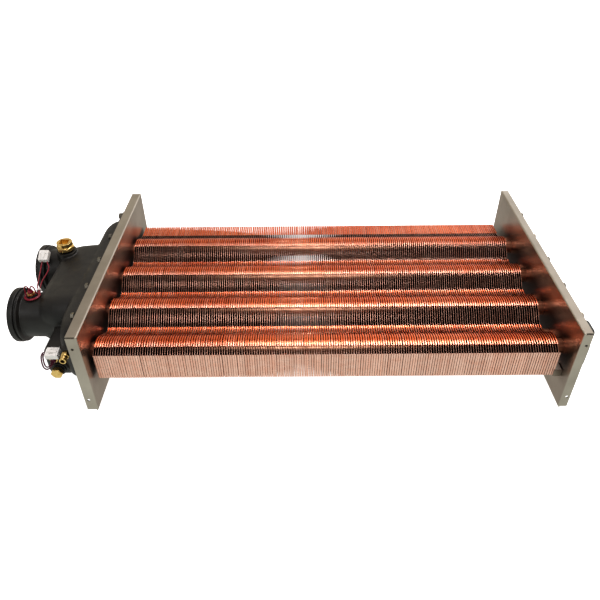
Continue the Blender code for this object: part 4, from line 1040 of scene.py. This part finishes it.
def connector(node, centre, rotation):
    """A two-way nylon plug housing: a latch on top with a pocket either side of it, two sockets at its end
    and two openings at the other.
    """
    housing = block((-0.0080, -0.0095, -0.0045), (0.0080, 0.0095, 0.0045), 0.0007)
    extras = [block((-0.0026, -0.0060, 0.0035), (0.0026, 0.0070, 0.0058), 0.0005),
              block((-0.0018, -0.0085, 0.0035), (0.0018, -0.0040, 0.0052), 0.0004)]
    mesh = combined(housing, extras)
    holes = ((0.0024, 0.0040, 0.0110, -0.0024, 0.0024, 0.0003),
             (0.0020, -0.0110, -0.0080, -0.0020, 0.0020, 0.0003),
             (0.0012, -0.0030, 0.0030, 0.0030, 0.0060, 0.0002))
    cutters = [block((x - half, y_low, z_low), (x + half, y_high, z_high), bevel)
               for x in (-0.0039, 0.0039) for half, y_low, y_high, z_low, z_high, bevel in holes]
    mesh = combined(mesh, cutters, "DIFFERENCE")
    return show(node.replace("connector", "plug"), crisp(placed(mesh, centre, rotation)),
                "white_nylon", node)


def make_leads():
    upper = connector("upper_sensor_connector", middle("upper_sensor_connector"),
                      Euler((math.radians(28), 0, 0)))
    lower = connector("lower_sensor_connector", middle("lower_sensor_connector"),
                      Euler((0, math.radians(8), math.radians(-90))))
    tie_shape = flat_sheet([rounded_rectangle((-0.0036, -0.0024), (0.0036, 0.0024), 0.001, 5),
                            rounded_rectangle((-0.0025, -0.0013), (0.0025, 0.0013), 0.0008, 5)], 0.002)
    tie_shape.transform(Matrix.Translation(middle("lead_tie")) @ Matrix.Rotation(math.radians(106), 4, "Z")
                        @ ALONG_X.to_matrix().to_4x4())
    tie = show("lead_tie_band", smooth(tie_shape), "white_nylon", "lead_tie")
    full_turn = 2 * math.pi + LEAVE_ANGLE
    make_lead("upper_sensor_lead_a", ring_route(0, full_turn) + from_middle(UPPER_RUN_A),
              "red_lead")
    make_lead("upper_sensor_lead_b", ring_route(math.pi, full_turn) + from_middle(UPPER_RUN_B),
              "red_lead")
    make_lead("lower_sensor_lead_a", from_middle(LOWER_ROUTE_A), "purple_lead")
    make_lead("lower_sensor_lead_b", from_middle(LOWER_ROUTE_B), "purple_lead")


def dress_nodes():
    """CAD nodes whose shape is already right keep it and get their finish."""
    for node, slot in (("header_tube_plate", "tube_plate_steel"), ("return_tube_plate", "tube_plate_steel"),
                       ("header_gasket", "black_rubber"), ("return_gasket", "black_rubber"),
                       ("bypass_cage", "black_polymer"), ("bypass_poppet", "brass"),
                       ("fin_stop_clip", "stainless_sheet")):
        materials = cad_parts[node].data.materials
        materials.clear()
        materials.append(FINISHES[slot])


# ---- stage, light and camera -------------------------------------------------------------------
def ground_plane(name, size, place, colour):
    """A dull painted plane, and its paint so that more can be added to it."""
    bpy.ops.mesh.primitive_plane_add(size=size, location=place)
    plane = bpy.context.object
    plane.name = name
    paint = Finish(name + "_paint", 0.0, 0.0)
    paint.feed("Roughness", 0.9)
    paint.feed("Base Color", colour)
    plane.data.materials.append(paint.material)
    return plane, paint


def make_stage():
    """A white floor that glows, but for a strip under the fins painted dark as their shadow, so as not to
    shine up between them; and a dark sheet under them, hidden from the camera, as painted shade.
    """
    floor, paint = ground_plane("floor", 16, (0, 0, -0.0005), (0.9, 0.9, 0.9))
    floor.visible_glossy = False
    floor.visible_diffuse = False
    paint.feed("Emission Color", (1, 1, 1))
    shaded = paint.inside((("X", HEADER_PAN_X + 0.01, RETURN_PAN_X - 0.01),
                           ("Y", PACK_LOW.y + 0.066, PACK_HIGH.y + 0.115)), 0.01)
    paint.feed("Emission Strength", paint.spread(shaded, 0.80, 0.0, 0, 1))

    shade, _ = ground_plane("shade_under_fins", 1, (MID_X, 0.10, -0.0003), (0.03, 0.03, 0.03))
    shade.scale = (SPAN - 0.06, 0.40, 1)
    shade.visible_camera = False
    shade.visible_shadow = False


def area_light(name, place, target, size, power, colour=(1, 1, 1)):
    light = bpy.data.lights.new(name, "AREA")
    light.shape = "RECTANGLE"
    light.size, light.size_y = size
    light.energy = power
    light.color = colour
    obj = put(name, light)
    obj.location = place
    obj.rotation_euler = (Vector(target) - Vector(place)).to_track_quat("-Z", "Y").to_euler()


def make_world():
    """A room: behind the part beige on the left and white on the right, before it pale low down."""
    world = bpy.data.worlds.new("studio")
    bpy.context.scene.world = world
    room = Nodes(world)
    axes = room.axes(room.coordinate("Generated"))

    def blend(axis, start, end, first, second):
        return room.mix(room.spread(axes[axis], 0, 1, start, end, "SMOOTHSTEP"), first, second)

    low_wall = blend("X", -0.25, 0.25, (0.62, 0.57, 0.47), (1.35, 1.32, 1.28))
    wall = blend("Z", 0.46, 0.60, low_wall, (0.50, 0.46, 0.43))
    behind = blend("Z", -0.10, 0.05, (0.50, 0.46, 0.42), wall)
    before = blend("Z", -0.10, 0.20, (0.72, 0.74, 0.69), (0.34, 0.33, 0.32))
    background = room.tree.nodes["Background"]
    room.fill(background.inputs["Color"], blend("Y", -0.15, 0.40, before, behind))


def make_lights():
    area_light("overhead_strip", (0.40, 0.35, 1.50), (0.35, 0.05, 0.1), (1.2, 0.25), 13, (1.0, 0.93, 0.92))
    area_light("front_softbox", (-0.2, -1.7, 1.9), (0, 0, 0.05), (1.4, 1.0), 18)


def make_camera():
    camera = bpy.data.cameras.new("camera")
    camera.sensor_width = 36
    camera.lens = 35.52
    obj = put("camera", camera)
    bpy.context.scene.camera = obj
    pitch, yaw, roll = (math.radians(a) for a in (37.618, -0.234, 0.579))
    ahead = Vector((math.sin(yaw) * math.cos(pitch), math.cos(yaw) * math.cos(pitch), -math.sin(pitch)))
    right = Vector((math.cos(yaw), -math.sin(yaw), 0))
    down = ahead.cross(right)
    turned_right = math.cos(roll) * right + math.sin(roll) * down
    turned_down = -math.sin(roll) * right + math.cos(roll) * down
    facing = Matrix((turned_right, -turned_down, -ahead)).transposed().to_4x4()
    place = Vector((MID_X - 0.0548 * SPAN, -PAN_HALF_DEPTH - 0.8775 * SPAN, PAN_HEIGHT + 0.7665 * SPAN))
    obj.matrix_world = Matrix.Translation(place) @ facing


make_camera()
make_leads()
make_fins()
make_tubes()
make_pan("header_side_pan", -1)
make_pan("return_side_pan", 1)
make_header()
make_return_header()
make_bolts()
make_rings()
make_fittings()
make_spring()
dress_nodes()
make_stage()
make_world()
make_lights()
bpy.context.scene.view_settings.view_transform = "Standard"
bpy.context.scene.view_settings.look = "Medium High Contrast"
